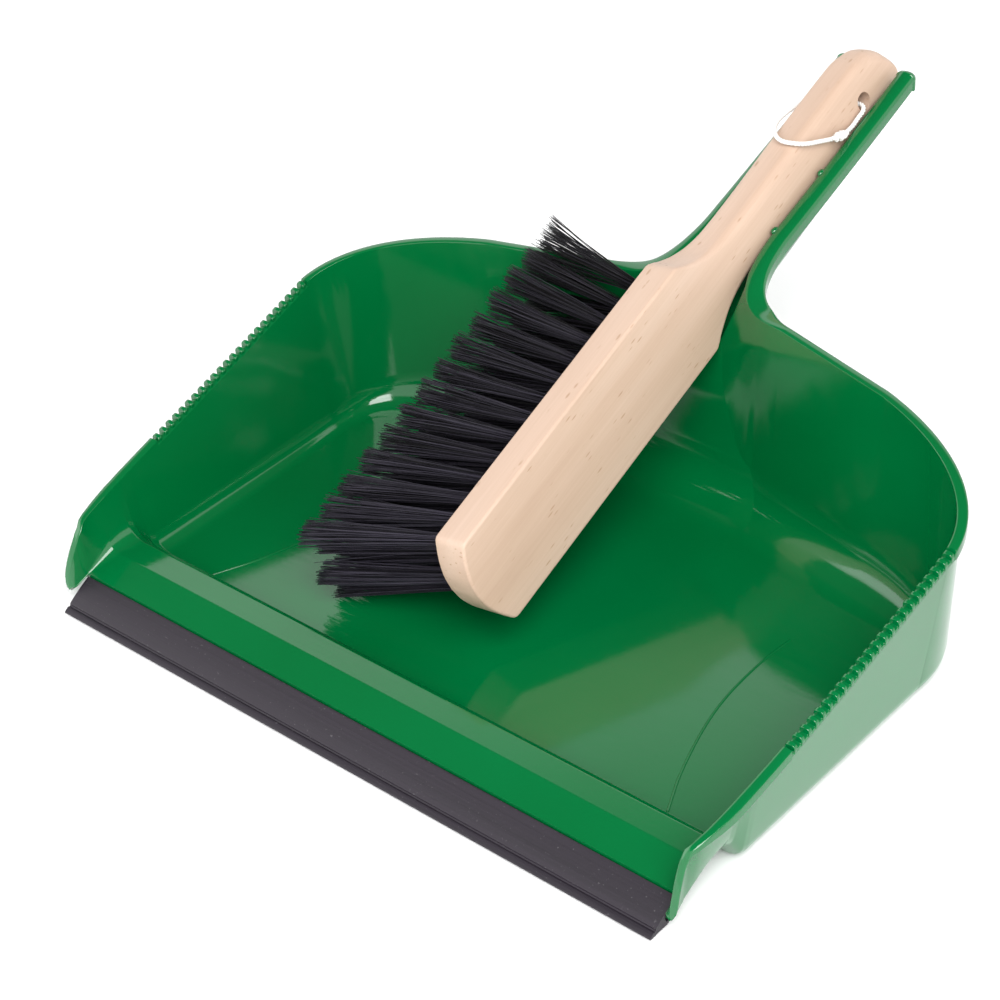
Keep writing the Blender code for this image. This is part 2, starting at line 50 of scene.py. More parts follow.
# Camera.
CAMERA_PLACE = Vector((0.5241, -0.6344, 0.6202))
CAMERA_TARGET = Vector((0.0, -0.0738, 0.0634))
CAMERA_ROLL = math.radians(-4.38)
CAMERA_LENS = 89.86
CAMERA_SENSOR = 36.0
CAMERA_SHIFT = (-0.0024, -0.0085)

# Pan, with y measured from the front edge of the ramp.
FRONT_Y = -162.12 * MM
SHEET = 2.4 * MM
RAMP_LINE = ((0.0, 11.3), (13.3, 15.2), (24.5, 15.3), (27.5, 13.2), (33.5, 4.0), (36.5, 2.4))
RIM_Z = (31.4 * MM, 0.2363, 0.227)
COMB_START_Y = 51.0 * MM
COMB_END_Y = 147.0 * MM
COMB_RIBS = 24
SIDE_RIM = ((151.0, 2.5), (159.2, 147.0))
SIDE_FLARE = 0.42
CORNER_RIM = ((159.2, 147.0), (157.4, 166.0), (137.0, 185.0), (98.6, 195.5))
BACK_RIM = ((98.6, 195.5), (46.0, 206.0))
NECK_RIM = ((46.0, 206.0), (27.0, 208.8), (13.0, 213.5), (11.4, 246.0))
HANDLE_RIM = ((11.4, 246.0), (10.9, 337.5))
BASE_CORNER = ((150.0, 143.0), (153.0, 173.0), (138.0, 183.0), (96.0, 188.8))
BASE_BACK = ((96.0, 188.8), (44.0, 198.6))
BASE_BACK_SLOPE = 0.19
BASE_FRONT_X = 149.2 * MM
BASE_NARROWING = 0.9 * MM
BASE_SPREAD = 0.011
BASE_SWEEP = 4.0 * MM
BASE_SWEEP_SPAN = (100.0 * MM, 147.0 * MM)
RIM_WIDTH = 4.2 * MM
HANDLE_RIM_WIDTH = 8.2 * MM
RIM_DROP = 3.6 * MM
HANDLE_RIM_DROP = 4.2 * MM
RIM_BULGE = 1.0 * MM
HANDLE_RIM_BULGE = 3.0 * MM
HANDLE_RIM_SINK = 1.6 * MM
RIM_FLATNESS = 0.5
HANDLE_RIM_FLATNESS = 0.85
RIM_EDGE = 0.45 * MM
FRONT_RIM_WIDTH = 3.0 * MM
FRONT_RIM_DROP = 1.6 * MM
FRONT_RIM_Y = 24.0 * MM
SKIN_SHARE = 0.6
CHANNEL_DEPTH_AT_MOUTH = 22.0 * MM
CHANNEL_DEPTH_AT_END = 14.5 * MM
CHANNEL_MOUTH_Y = 209.0 * MM
CHANNEL_HALF_WIDTH = 11.1 * MM
CHANNEL_FILLET = 4.5 * MM
CHANNEL_OUTER_FILLET = 9.0 * MM
# Shares of the neck's rim at which each change begins or ends.
OPENING_START = 0.26
OPENING_END = 0.66
WIDENING_END = 0.34
SWELLING = (0.3, 0.9)
NARROWING_END = 0.64
TURNING = (0.45, 0.65)
BACK_WALL_LEAN = 0.085
BACK_FILLET = 20.0 * MM
SIDE_FILLET = 8.0 * MM
FRONT_FILLET = 1.0 * MM
FRONT_FILLET_GROWTH = 0.35
OUTER_FILLET = 10.0 * MM
STRAIGHT_BASE_Y = 40.0 * MM
STRAIGHT_RIM_Y = 30.0 * MM
COMB_NOTCH = 2.0 * MM
COMB_RIB = (
    (0.1, -2.4), (-0.05, 0.0), (0.15, 0.55), (0.6, 0.95), (1.3, 1.2), (2.2, 1.25),
    (3.1, 1.15), (3.8, 0.8), (4.15, 0.2), (4.2, -0.8), (4.1, -2.2), (2.6, -2.6),
)
# Places along a rib's thickness, and how far its outline is drawn in there, in mm.
COMB_RIB_ROWS = ((-0.8, 0.15), (-0.62, 0.0), (0.62, 0.0), (0.8, 0.15))
NUB_X = 12.0 * MM
NUB_YS = (249.0 * MM, 281.5 * MM)
NUB_DEPTH = 0.2 * MM
NUB_RADII = (1.6 * MM, 2.4 * MM, 1.5 * MM)
NUB_ROWS = 7
NUB_SIDES = 12
CHEEK_TIP_SIZES = (0.35, 0.7, 0.93)
CHEEK_YS = (-8.6, -8.3, -7.7, -6.8, -5.5, -4.0, -2.5, -1.2, -0.4)
CHEEK_LENGTH = 9.0
CHEEK_BASE_XS = (149.3, 150.2)
CHEEK_RIM_XS = (150.9, 151.9)
CHEEK_FILLET = 0.4 * MM
CHEEK_SLIM = 0.75
CHEEK_END_Y = 8.0 * MM
CHEEK_HIGH = (
    (-8.7, 7.6), (-8.2, 10.5), (-6.0, 16.8), (-4.0, 21.2), (-2.0, 25.0),
    (0.0, 28.2), (2.0, 30.6), (4.5, 32.2), (8.0, 33.4),
)
CHEEK_LOW = ((-8.7, 7.0), (-8.2, 5.9), (-6.0, 6.0), (-3.0, 7.6), (0.0, 8.9))

# Rubber lip.
LIP_TOP = Vector((-0.5, 10.3)) * MM
LIP_SLOPE = math.radians(30.0)
LIP_LENGTH = 17.4
LIP_HALF_LENGTH = 149.0 * MM
LIP_COLUMNS = 61
LIP_WAVE = 0.16
LIP_WAVE_RATE = 22.0
# Section as (along, below) in mm: a top flap and a lower flap, with a slot between them.
LIP_SECTION = (
    (0.15, 0.0), (1.0, -0.1), (7.0, -0.25), (12.6, 0.0), (13.3, 0.15), (13.6, 0.65),
    (14.1, 0.8), (14.5, 0.4), (14.9, 0.15),
    (LIP_LENGTH - 0.4, 0.3), (LIP_LENGTH, 0.7), (LIP_LENGTH - 0.1, 1.15), (LIP_LENGTH - 0.6, 1.35),
    (13.4, 3.0), (9.8, 5.3), (9.2, 5.6), (4.4, 5.6), (3.9, 5.3), (3.8, 4.6), (8.2, 4.4),
    (8.6, 4.2), (8.8, 3.6), (8.6, 1.9), (8.2, 1.6), (1.0, 1.6), (0.3, 1.3), (0.0, 0.7),
)
TONGUE_HALF = 150.0 * MM
TONGUE_SECTION = ((-4.0, 1.9), (8.0, 1.9), (8.0, 3.5), (-4.0, 3.5))

# Brush, in its own frame: X from nose to tip, Y across, Z out of its back face.
BRUSH_ORIGIN = Vector((-3.0, 64.7, 36.65)) * MM
BRUSH_YAW = math.radians(1.35)
BRUSH_PITCH = math.radians(20.4)
BRUSH_ROLL = math.radians(14.8)
BLOCK_THICKNESS = 16.5 * MM
EDGE_ROUND = 1.3 * MM
GRIP_ROUND = 4.0 * MM
TIP_ROUND = 6.5 * MM
LOW_TIP_ROUND = 2.2 * MM
TIP_CENTRE = Vector((281.0, 0.0)) * MM
GRIP_ROUND_XS = (146.0 * MM, 180.0 * MM)
TIP_ROUND_XS = (272.0 * MM, 288.0 * MM)
TIP_ROUND_YS = (-8.0 * MM, 6.0 * MM)
TIP_INSET_XS = (272.0 * MM, 280.0 * MM)
EDGE_STEPS = 6
HANG_HOLE_PLACE = (270.0 * MM, -3.5 * MM)
HANG_HOLE_DIAMETER = 8.0 * MM
TUFT_HOLE_DIAMETER = 5.2 * MM
TUFT_HOLE_DEPTH = 9.0 * MM
CUT_OVER = 2.0 * MM
TUFTS_IN_LONG_ROW = 14
TUFT_ROWS_Y = (16.0 * MM, 5.4 * MM, -5.4 * MM, -16.0 * MM)
TUFT_FIRST_X = 5.0 * MM
TUFT_LAST_X = 137.0 * MM
BRISTLE_LENGTH = 65.5 * MM
TIP_EDGE_Y = 28.0 * MM
TIP_FIRST_X = (-13.0 * MM, -15.0 * MM, -18.0 * MM, -21.0 * MM)
TIP_LAST_X = (153.0 * MM, 136.0 * MM, 126.0 * MM, 119.0 * MM)
BRISTLE_FLOOR_GAP = 1.0 * MM
WALL_CLEARANCE = 1.5 * MM
FILAMENTS_IN_TUFT = 120
FILAMENT_RADIUS = 0.165 * MM
FILAMENT_END_RADIUS = 0.75 * FILAMENT_RADIUS
FILAMENT_SIDES = 4
FILAMENT_LEVELS = (0.0, 0.25, 0.5, 0.75, 0.92, 1.0)
ROOT_HEIGHT = 3.0 * MM
ROOT_RADIUS = 2.1 * MM
# Half widths of a tuft's tips, as shares of its place in the row and of its band across the rows.
TUFT_SPREAD = 0.5
FRAYED_SPREAD = 1.1
TUFT_SPREAD_ACROSS = 0.46
STRAY_SHARE = 0.04
STRAY_REACH = 1.8
SHADE_SPREAD = 0.3
# Mean filament tone at the first and the last tuft of a row: painted light, lighter at the nose end
# and darker towards the handle.
PAINTED_LIGHT_ENDS = (0.62, 0.06)
TUFT_SEED = 7

# String, in the brush's frame: the same route as the CAD's cord.
STRING_LAY = 4.6 * MM
STRANDS = 3
STRAND_OFFSET = 0.5 * MM
STRAND_RADIUS = 0.52 * MM
STRAND_SIDES = 8
KNOT_CENTRE = Vector((247.4, -1.6, 19.8)) * MM
# Each wrap of the knot: its turns, half length and radius in mm, and where its first turn starts.
KNOT_WRAPS = ((0.6, 5.2, 0.55, 0.0), (2.6, 3.3, 1.25, 1.0), (-1.6, 3.9, 0.9, 2.4))
KNOT_ARC = (0.08, 0.92)
KNOT_STEPS = 72
STRING_ROUTE = (
    (251.6, -3.6, 19.2), (256.5, -5.0, 18.4), (261.5, -4.9, 18.3), (265.8, -4.7, 18.3),
    (268.6, -4.4, 16.2), (269.4, -4.0, 12.0), (269.4, -3.7, 7.0), (269.2, -3.4, 3.0),
    (268.6, -2.4, -0.9), (265.4, 1.0, -1.9), (259.0, 5.6, -1.9), (249.0, 9.8, -1.9),
    (239.0, 12.4, -1.0), (231.5, 13.8, 3.5), (227.0, 14.1, 10.0), (227.4, 12.6, 16.2),
    (231.0, 9.2, 18.6), (237.0, 4.8, 18.8), (243.0, 0.6, 19.2),
)


# ---------------- helpers


def new_object(name, data):
    made = bpy.data.objects.new(name, data)
    bpy.context.scene.collection.objects.link(made)
    return made


def mesh_object(name, points, faces, mat=None, sharp_angle=None):
    mesh = bpy.data.meshes.new(name)
    mesh.from_pydata([tuple(point) for point in points], [], faces)
    work = bmesh.new()
    work.from_mesh(mesh)
    bmesh.ops.remove_doubles(work, verts=work.verts, dist=0.002 * MM)
    bmesh.ops.recalc_face_normals(work, faces=work.faces)
    work.to_mesh(mesh)
    work.free()
    mesh.shade_smooth()
    if sharp_angle is not None:
        mesh.set_sharp_from_angle(angle=math.radians(sharp_angle))
    if mat is not None:
        mesh.materials.append(mat)
    return new_object(name, mesh)


def brush_matrix():
    along = Vector((-math.sin(BRUSH_YAW) * math.cos(BRUSH_PITCH), 0.0, math.sin(BRUSH_PITCH)))
    along.y = math.cos(BRUSH_YAW) * math.cos(BRUSH_PITCH)
    level = along.cross(UP).normalized()
    back = Matrix.Rotation(-BRUSH_ROLL, 3, along) @ level
    across_brush = back.cross(along)
    matrix = Matrix((along, across_brush, back)).transposed().to_4x4()
    matrix.translation = BRUSH_ORIGIN + Vector((0.0, FRONT_Y, 0.0))
    return matrix


BRUSH = brush_matrix()


def smooth_route(route, per_span):
    """Points on the smooth curve through the route."""
    ends = [route[0] * 2 - route[1]] + list(route) + [route[-1] * 2 - route[-2]]
    dense = []
    for a, b, c, d in zip(ends, ends[1:], ends[2:], ends[3:]):
        for step in range(per_span):
            t = step / per_span
            smooth = b * 2 + (c - a) * t + (a * 2 - b * 5 + c * 4 - d) * t**2
            dense.append((smooth + (b * 3 - a - c * 3 + d) * t**3) / 2)
    dense.append(route[-1])
    return dense


def carried_frames(line):
    """(centre, side, other side) at each point of a line; the frame is carried along untwisted."""
    side = None
    for i, centre in enumerate(line):
        travel = (line[min(i + 1, len(line) - 1)] - line[max(i - 1, 0)]).normalized()
        if side is None:
            side = travel.orthogonal().normalized()
        side = (side - travel * side.dot(travel)).normalized()
        yield centre, side, travel.cross(side)


def add_walls(faces, start, ring, rows):
    """Faces between the rings of a stack: rows rings of this many points, from index start."""
    for row in range(rows - 1):
        for k in range(ring):
            m = (k + 1) % ring
            a = start + row * ring
            faces.append((a + k, a + m, a + ring + m, a + ring + k))


def smoothstep(value):
    value = max(0.0, min(1.0, value))
    return value * value * (3 - 2 * value)


def span_share(span, x):
    """0 before the span and 1 after it, with a smooth climb between."""
    return smoothstep((x - span[0]) / (span[1] - span[0]))


def mix(low, high, share):
    return low + (high - low) * share


def curve_value(pairs, x):
    """Linear reading of (x, value) pairs."""
    if x <= pairs[0][0]:
        return pairs[0][1]
    for (x0, v0), (x1, v1) in zip(pairs, pairs[1:]):
        if x <= x1:
            return v0 + (v1 - v0) * (x - x0) / (x1 - x0)
    return pairs[-1][1]


# ---------------- camera


def make_camera():
    data = bpy.data.cameras.new("camera")
    data.lens = CAMERA_LENS
    data.sensor_width = CAMERA_SENSOR
    data.shift_x, data.shift_y = CAMERA_SHIFT
    camera = new_object("camera", data)
    look = (CAMERA_TARGET - CAMERA_PLACE).normalized()
    camera.rotation_mode = "QUATERNION"
    turn = look.to_track_quat("-Z", "Y").to_matrix()
    camera.matrix_world = Matrix.Translation(CAMERA_PLACE) @ (
        turn @ Matrix.Rotation(CAMERA_ROLL, 3, "Z")
    ).to_4x4()
    bpy.context.scene.camera = camera


make_camera()


# ---------------- materials


def new_material(name):
    made = bpy.data.materials.new(name)
    made.use_nodes = True
    tree = made.node_tree
    return made, tree, tree.nodes["Principled BSDF"]


def node(tree, kind, **values):
    made = tree.nodes.new(kind)
    for key, value in values.items():
        if key in made.inputs:
            made.inputs[key].default_value = value
        else:
            setattr(made, key, value)
    return made


def ramp(tree, source, stops):
    made = tree.nodes.new("ShaderNodeValToRGB")
    elements = made.color_ramp.elements
    while len(elements) < len(stops):
        elements.new(0.5)
    for element, (place, color) in zip(elements, stops):
        element.position = place
        element.color = (*color, 1.0)
    tree.links.new(source, made.inputs["Fac"])
    return made.outputs["Color"]


def scaled_coords(tree, scale):
    coords = node(tree, "ShaderNodeTexCoord")
    mapping = node(tree, "ShaderNodeMapping")
    mapping.inputs["Scale"].default_value = scale
    tree.links.new(coords.outputs["Object"], mapping.inputs["Vector"])
    return mapping.outputs["Vector"]


def noise_field(tree, scale, detail, roughness, stretch=(1.0, 1.0, 1.0)):
    made = node(tree, "ShaderNodeTexNoise", Scale=scale, Detail=detail, Roughness=roughness)
    tree.links.new(scaled_coords(tree, stretch), made.inputs["Vector"])
    return made.outputs["Fac"]


def add_bump(tree, shader, height, strength, distance):
    bump = node(tree, "ShaderNodeBump", Strength=strength, Distance=distance)
    tree.links.new(height, bump.inputs["Height"])
    tree.links.new(bump.outputs["Normal"], shader.inputs["Normal"])


def grey(value):
    return (value, value, value)


def blend_color(tree, factor, low, high, mode="MIX"):
    made = node(tree, "ShaderNodeMix", data_type="RGBA", blend_type=mode)
    for index, value in ((0, factor), (6, low), (7, high)):
        if hasattr(value, "is_output"):
            tree.links.new(value, made.inputs[index])
        else:
            made.inputs[index].default_value = value
    return made.outputs[2]


def green_plastic():
    """Glossy moulded polypropylene: faint flow marks, a fine moulded haze and a few scratches."""
    made, tree, shader = new_material("green_polypropylene")
    flow = noise_field(tree, 9.0, 3.0, 0.5)
    tint = ramp(tree, flow, ((0.3, (0.0, 0.113, 0.026)), (0.7, (0.0, 0.131, 0.033))))
    tree.links.new(tint, shader.inputs["Base Color"])
    scratch = noise_field(tree, 60.0, 2.0, 0.4, (1.0, 9.0, 1.0))
    rough = ramp(tree, scratch, ((0.35, grey(0.075)), (0.75, grey(0.125))))
    tree.links.new(rough, shader.inputs["Roughness"])
    add_bump(tree, shader, noise_field(tree, 420.0, 4.0, 0.6), 0.05, 0.2 * MM)
    shader.inputs["IOR"].default_value = 1.52
    shader.inputs["Specular IOR Level"].default_value = 0.66
    return made


def rubber():
    """Dark extruded rubber with fine streaks along its length and a little dust."""
    made, tree, shader = new_material("dark_rubber")
    streak = noise_field(tree, 55.0, 5.0, 0.65, (0.06, 14.0, 14.0))
    dust = noise_field(tree, 900.0, 2.0, 0.5)
    tint = ramp(tree, streak, ((0.3, (0.007, 0.004, 0.009)), (0.7, (0.015, 0.010, 0.018))))
    specks = ramp(tree, dust, ((0.68, grey(0.0)), (0.76, grey(1.0))))
    color = blend_color(tree, specks, tint, (0.06, 0.055, 0.062, 1.0))
    tree.links.new(color, shader.inputs["Base Color"])
    rough = ramp(tree, streak, ((0.3, grey(0.46)), (0.7, grey(0.62))))
    tree.links.new(rough, shader.inputs["Roughness"])
    add_bump(tree, shader, streak, 0.25, 0.3 * MM)
    return made


def beech_wood():
    """Sanded beech: soft grain along the length and short darker ray flecks."""
    made, tree, shader = new_material("beech")
    band = noise_field(tree, 16.0, 4.0, 0.55, (0.35, 5.0, 5.0))
    tones = (
        (0.25, (0.49, 0.342, 0.252)),
        (0.5, (0.542, 0.389, 0.296)),
        (0.75, (0.566, 0.42, 0.328)),
    )
    fibre = noise_field(tree, 70.0, 6.0, 0.7, (0.3, 12.0, 12.0))
    fibre_tone = ramp(tree, fibre, ((0.35, (0.90, 0.88, 0.86)), (0.65, grey(1.0))))
    grained = blend_color(tree, 0.6, ramp(tree, band, tones), fibre_tone, "MULTIPLY")
    fleck = node(tree, "ShaderNodeTexVoronoi", Scale=230.0, Randomness=1.0)
    tree.links.new(scaled_coords(tree, (0.45, 2.6, 1.2)), fleck.inputs["Vector"])
    fleck_spot = ramp(tree, fleck.outputs["Distance"], ((0.12, grey(1.0)), (0.22, grey(0.0))))
    pick = noise_field(tree, 120.0, 2.0, 0.5, (0.4, 1.0, 1.0))
    picked = ramp(tree, pick, ((0.50, grey(0.0)), (0.58, grey(0.8))))
    spots = node(tree, "ShaderNodeMath", operation="MULTIPLY")
    tree.links.new(fleck_spot, spots.inputs[0])
    tree.links.new(picked, spots.inputs[1])
    flecked = blend_color(tree, spots.outputs["Value"], grained, (0.36, 0.22, 0.135, 1.0))
    tree.links.new(flecked, shader.inputs["Base Color"])
    shader.inputs["Roughness"].default_value = 0.46
    add_bump(tree, shader, fibre, 0.12, 0.2 * MM)
    return made


def filament():
    """Black synthetic bristle with a cool sheen; each filament has its own tone, with painted light
    on top: lighter at the nose end of each row, darker towards the handle.
    """
    made, tree, shader = new_material("dark_filament")
    shade = node(tree, "ShaderNodeAttribute", attribute_name="shade").outputs["Fac"]
    # The tint follows the painted light along the row as well as each filament's own tone.
    tint = ramp(tree, shade, ((0.0, (0.001, 0.0008, 0.0012)), (1.0, (0.040, 0.036, 0.051))))
    tree.links.new(tint, shader.inputs["Base Color"])
    rough = ramp(tree, shade, ((0.0, grey(0.45)), (1.0, grey(0.28))))
    tree.links.new(rough, shader.inputs["Roughness"])
    shader.inputs["Specular IOR Level"].default_value = 0.14
    return made


def cotton():
    """Off-white twisted cotton with fuzz between the strands."""
    made, tree, shader = new_material("white_cotton")
    fuzz = noise_field(tree, 2600.0, 4.0, 0.7)
    tint = ramp(tree, fuzz, ((0.3, (0.66, 0.64, 0.61)), (0.7, (0.86, 0.85, 0.83))))
    tree.links.new(tint, shader.inputs["Base Color"])
    shader.inputs["Roughness"].default_value = 0.85
    add_bump(tree, shader, fuzz, 0.5, 0.2 * MM)
    return made


GREEN = green_plastic()
RUBBER = rubber()
BEECH = beech_wood()
FILAMENT = filament()
COTTON = cotton()


# ---------------- string


def strand_tube(points, faces, line, radius, sides):
    """Adds one closed tube round this line."""
    start = len(points)
    for centre, side, other in carried_frames(line):
        for k in range(sides):
            turn = math.tau * k / sides
            points.append(centre + (side * math.cos(turn) + other * math.sin(turn)) * radius)
    add_walls(faces, start, sides, len(line))
    last = start + (len(line) - 1) * sides
    faces.append(tuple(start + k for k in reversed(range(sides))))
    faces.append(tuple(last + k for k in range(sides)))


def twisted(line):
    """Lines of the strands that wind round the cord's own line, one turn every lay."""
    strands = [[] for _ in range(STRANDS)]
    run = 0.0
    for i, (centre, side, other) in enumerate(carried_frames(line)):
        if i:
            run += (centre - line[i - 1]).length
        for k in range(STRANDS):
            turn = math.tau * (run / STRING_LAY + k / STRANDS)
            offset = (side * math.cos(turn) + other * math.sin(turn)) * STRAND_OFFSET
            strands[k].append(centre + offset)
    return strands


def make_string():
    route = [BRUSH @ (Vector(point) * MM) for point in STRING_ROUTE]
    line = smooth_route(route, 16)
    points, faces = [], []
    for strand in twisted(line):
        strand_tube(points, faces, strand, STRAND_RADIUS, STRAND_SIDES)
    string = mesh_object("hanging_string", points, faces, COTTON)
    knot_points, knot_faces = [], []
    along = (Vector(STRING_ROUTE[0]) - Vector(STRING_ROUTE[-1])).normalized()
    turn = Vector((1.0, 0.0, 0.0)).rotation_difference(along).to_matrix()
    for turns, half, radius, phase in KNOT_WRAPS:
        wrap = []
        for i in range(KNOT_STEPS + 1):
            t = i / KNOT_STEPS
            angle = math.tau * turns * t + phase
            reach = radius * math.sin(math.pi * mix(*KNOT_ARC, t)) ** 0.5
            spot = Vector((half * (2 * t - 1), reach * math.cos(angle), reach * math.sin(angle)))
            wrap.append(BRUSH @ (KNOT_CENTRE + turn @ (spot * MM)))
        for strand in twisted(wrap):
            strand_tube(knot_points, knot_faces, strand, STRAND_RADIUS, STRAND_SIDES)
    knot = mesh_object("hanging_string_knot", knot_points, knot_faces, COTTON)
    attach(string, "brush")
    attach(knot, "brush")
    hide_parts("hang_cord")
    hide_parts("hang_cord_knot")


make_string()


# ---------------- pan


def rim_height(y):
    return RIM_Z[0] + RIM_Z[1] * y + RIM_Z[2] * y * y


def ramp_height(y):
    return curve_value([(py * MM, pz * MM) for py, pz in RAMP_LINE], y)


def channel_height(y):
    share = (y - CHANNEL_MOUTH_Y) / (HANDLE_RIM[1][1] * MM - CHANNEL_MOUTH_Y)
    return rim_height(y) - mix(CHANNEL_DEPTH_AT_MOUTH, CHANNEL_DEPTH_AT_END, share)


def bezier(controls, t):
    a, b, c, d = (Vector(point) * MM for point in controls)
    return a * (1 - t) ** 3 + b * (3 * t * (1 - t) ** 2) + c * (3 * t * t * (1 - t)) + d * t**3


def line_at(ends, t):
    return (Vector(ends[0]) * MM).lerp(Vector(ends[1]) * MM, t)


def side_rim_point(y):
    front, back = (Vector(end) * MM for end in SIDE_RIM)
    share = max(0.0, (y - front.y) / (back.y - front.y)) ** SIDE_FLARE
    return Vector((mix(front.x, back.x, share), y))


CREASE_GAP = 0.45
SMOOTH_YS = (0.0, 2.0, 4.5, 7.5, 10.5, 16.0, 19.0, 22.0, 26.0, 30.5, 40.0, 44.0, 48.0, 50.9, 51.1)
SMOOTH_YS += tuple(56.0 + 5.0 * i for i in range(18)) + (146.0, 146.9)


def cheek_stations():
    """Sections of the front cheek, from its tip back to the front edge of the ramp."""
    stations = []
    for y in CHEEK_YS:
        high = curve_value(CHEEK_HIGH, y) * MM
        low = curve_value(CHEEK_LOW, y) * MM
        out = smoothstep(-y / CHEEK_LENGTH)
        base = Vector((mix(*CHEEK_BASE_XS, out), y, 0.0)) * MM
        base.z = min(low + SHEET, high - CHEEK_FILLET)
        rim = Vector((mix(*CHEEK_RIM_XS, out), y)) * MM
        stations.append((base, rim, CHEEK_FILLET, 0.0, high, low))
    return stations


def side_ys():
    """Where the sections of a side stand: close pairs round each crease of the ramp."""
    ys = list(SMOOTH_YS)
    for crease, _ in RAMP_LINE[1:]:
        ys += [crease - CREASE_GAP, crease, crease + CREASE_GAP]
    return sorted(ys)


def side_stations():
    stations = []
    ramp_end = RAMP_LINE[-1][0] * MM
    sweep_start, sweep_end = BASE_SWEEP_SPAN
    for y in (value * MM for value in side_ys()):
        rim = side_rim_point(y)
        base_x = BASE_FRONT_X - BASE_NARROWING * min(1.0, y / ramp_end) + BASE_SPREAD * y
        base_y = y - BASE_SWEEP * max(0.0, (y - sweep_start) / (sweep_end - sweep_start))
        fillet = min(SIDE_FILLET, FRONT_FILLET + FRONT_FILLET_GROWTH * y)
        high = curve_value(CHEEK_HIGH, y / MM) * MM if y < CHEEK_END_Y else rim_height(y)
        notch = COMB_NOTCH if COMB_START_Y < y < COMB_END_Y else 0.0
        base = Vector((base_x, base_y, ramp_height(y)))
        stations.append((base, rim, fillet, notch, high, None))
    return stations


def corner_and_back_stations():
    places = []
    for i in range(CORNER_SECTIONS):
        t = i / CORNER_SECTIONS
        fillet = mix(SIDE_FILLET, BACK_FILLET, smoothstep(t))
        places.append((bezier(BASE_CORNER, t), bezier(CORNER_RIM, t), fillet))
    for i in range(BACK_SECTIONS):
        t = i / BACK_SECTIONS
        places.append((line_at(BASE_BACK, t), line_at(BACK_RIM, t), BACK_FILLET))
    stations = []
    for base, rim, fillet in places:
        place = Vector((base.x, base.y, SHEET))
        stations.append((place, rim, fillet, 0.0, rim_height(rim.y), None))
    return stations


def across(points, i):
    """Unit normal of a plan curve at point i, to the right of its direction of travel."""
    before = points[max(i - 1, 0)]
    after = points[min(i + 1, len(points) - 1)]
    travel = Vector((after[0] - before[0], after[1] - before[1]))
    return Vector((travel.y, -travel.x, 0.0)).normalized()


CORNER_SECTIONS = 36
BACK_SECTIONS = 8
NECK_SECTIONS = 44
HANDLE_SECTIONS = 16
INNER_STEPS = 13
OUTER_STEPS = 6
RIM_STEPS = 12
UNDER_RIM_POINTS = 6
BETWEEN_SHARES = (0.35, 0.7)
# Sections at the end of the handle: the size of the rim's roll, and its distance in mm.
HANDLE_END = (
    (1.02, 0.1), (1.1, 0.3), (1.1, 1.3), (1.0, 1.6),
    (0.93, 2.3), (0.78, 3.1), (0.52, 3.8), (0.25, 4.1),
)


def arc(start, corner, end, steps):
    """Points of the smooth bend from start to end that leans on the corner."""
    points = []
    for i in range(steps):
        t = i / (steps - 1)
        points.append(start.lerp(corner, t).lerp(corner.lerp(end, t), t))
    return points


def skin_point(top, rim_out, climb, drop):
    """Where the outer face of the wall ends, under the rim."""
    return top + rim_out * SHEET - climb * (drop * SKIN_SHARE)


def rim_points(top, rim_out, width, bulge, drop, climb, flatness):
    """From the top of the inner face over the rolled rim to the top of the outer face."""
    points = []
    for i in range(RIM_STEPS + 1):
        turn = math.pi * i / RIM_STEPS
        step = rim_out * (width / 2 * (1 - math.cos(turn)))
        points.append(top + step + UP * (bulge * math.sin(turn) ** flatness))
    edge = min(RIM_EDGE, drop * 0.5)
    points.append(top + rim_out * width - UP * (drop - edge))
    points.append(top + rim_out * (width - edge * 0.3) - UP * (drop - edge * 0.3))
    points.append(top + rim_out * (width - edge) - UP * drop)
    inner = max(SHEET + 0.5 * MM, width - 1.5 * MM)
    points.append(top + rim_out * inner - UP * drop)
    points.append(top + rim_out * (inner - 0.2 * MM) - UP * (drop * 0.55))
    points.append(skin_point(top, rim_out, climb, drop))
    return points


def wall_ring(inner, outer, top, rim_out, width, bulge, drop, flatness):
    """inner and outer are (start, corner, end) bends; the ring runs up the inside and down."""
    climb = (top - inner[2]).normalized()
    points = arc(*inner, INNER_STEPS)
    for share in BETWEEN_SHARES:
        points.append(inner[2].lerp(top, share))
    points += rim_points(top, rim_out, width, bulge, drop, climb, flatness)
    skin_top = points[-1]
    for share in BETWEEN_SHARES:
        points.append(skin_top.lerp(outer[2], share))
    points += arc(outer[2], outer[1], outer[0], OUTER_STEPS)
    return points


def tray_ring(base, rim, fillet, notch, high, low, base_out, rim_out):
    top = Vector((rim.x, rim.y, high))
    climb = (top - base).normalized()
    reach_in = min(fillet, (top - base).length * 0.8)
    inner = (base - base_out * fillet, base, base + climb * reach_in)
    slim = 1.0 if low is None else CHEEK_SLIM
    front = smoothstep(rim.y / FRONT_RIM_Y)
    width = mix(FRONT_RIM_WIDTH, RIM_WIDTH * slim, front)
    drop = min(mix(FRONT_RIM_DROP, RIM_DROP * slim, front), (top - base).length * 0.4)
    bulge = min(RIM_BULGE, (top - base).length * 0.3)
    skin_top = skin_point(top, rim_out, climb, drop)
    top -= climb * notch
    drop -= notch
    foot = base + base_out * SHEET - UP * SHEET
    reach = min(fillet, OUTER_FILLET, (skin_top - foot).length * 0.5)
    outer = (foot - base_out * reach, foot, foot + (skin_top - foot).normalized() * reach)
    return wall_ring(inner, outer, top, rim_out, width, bulge, drop, RIM_FLATNESS)


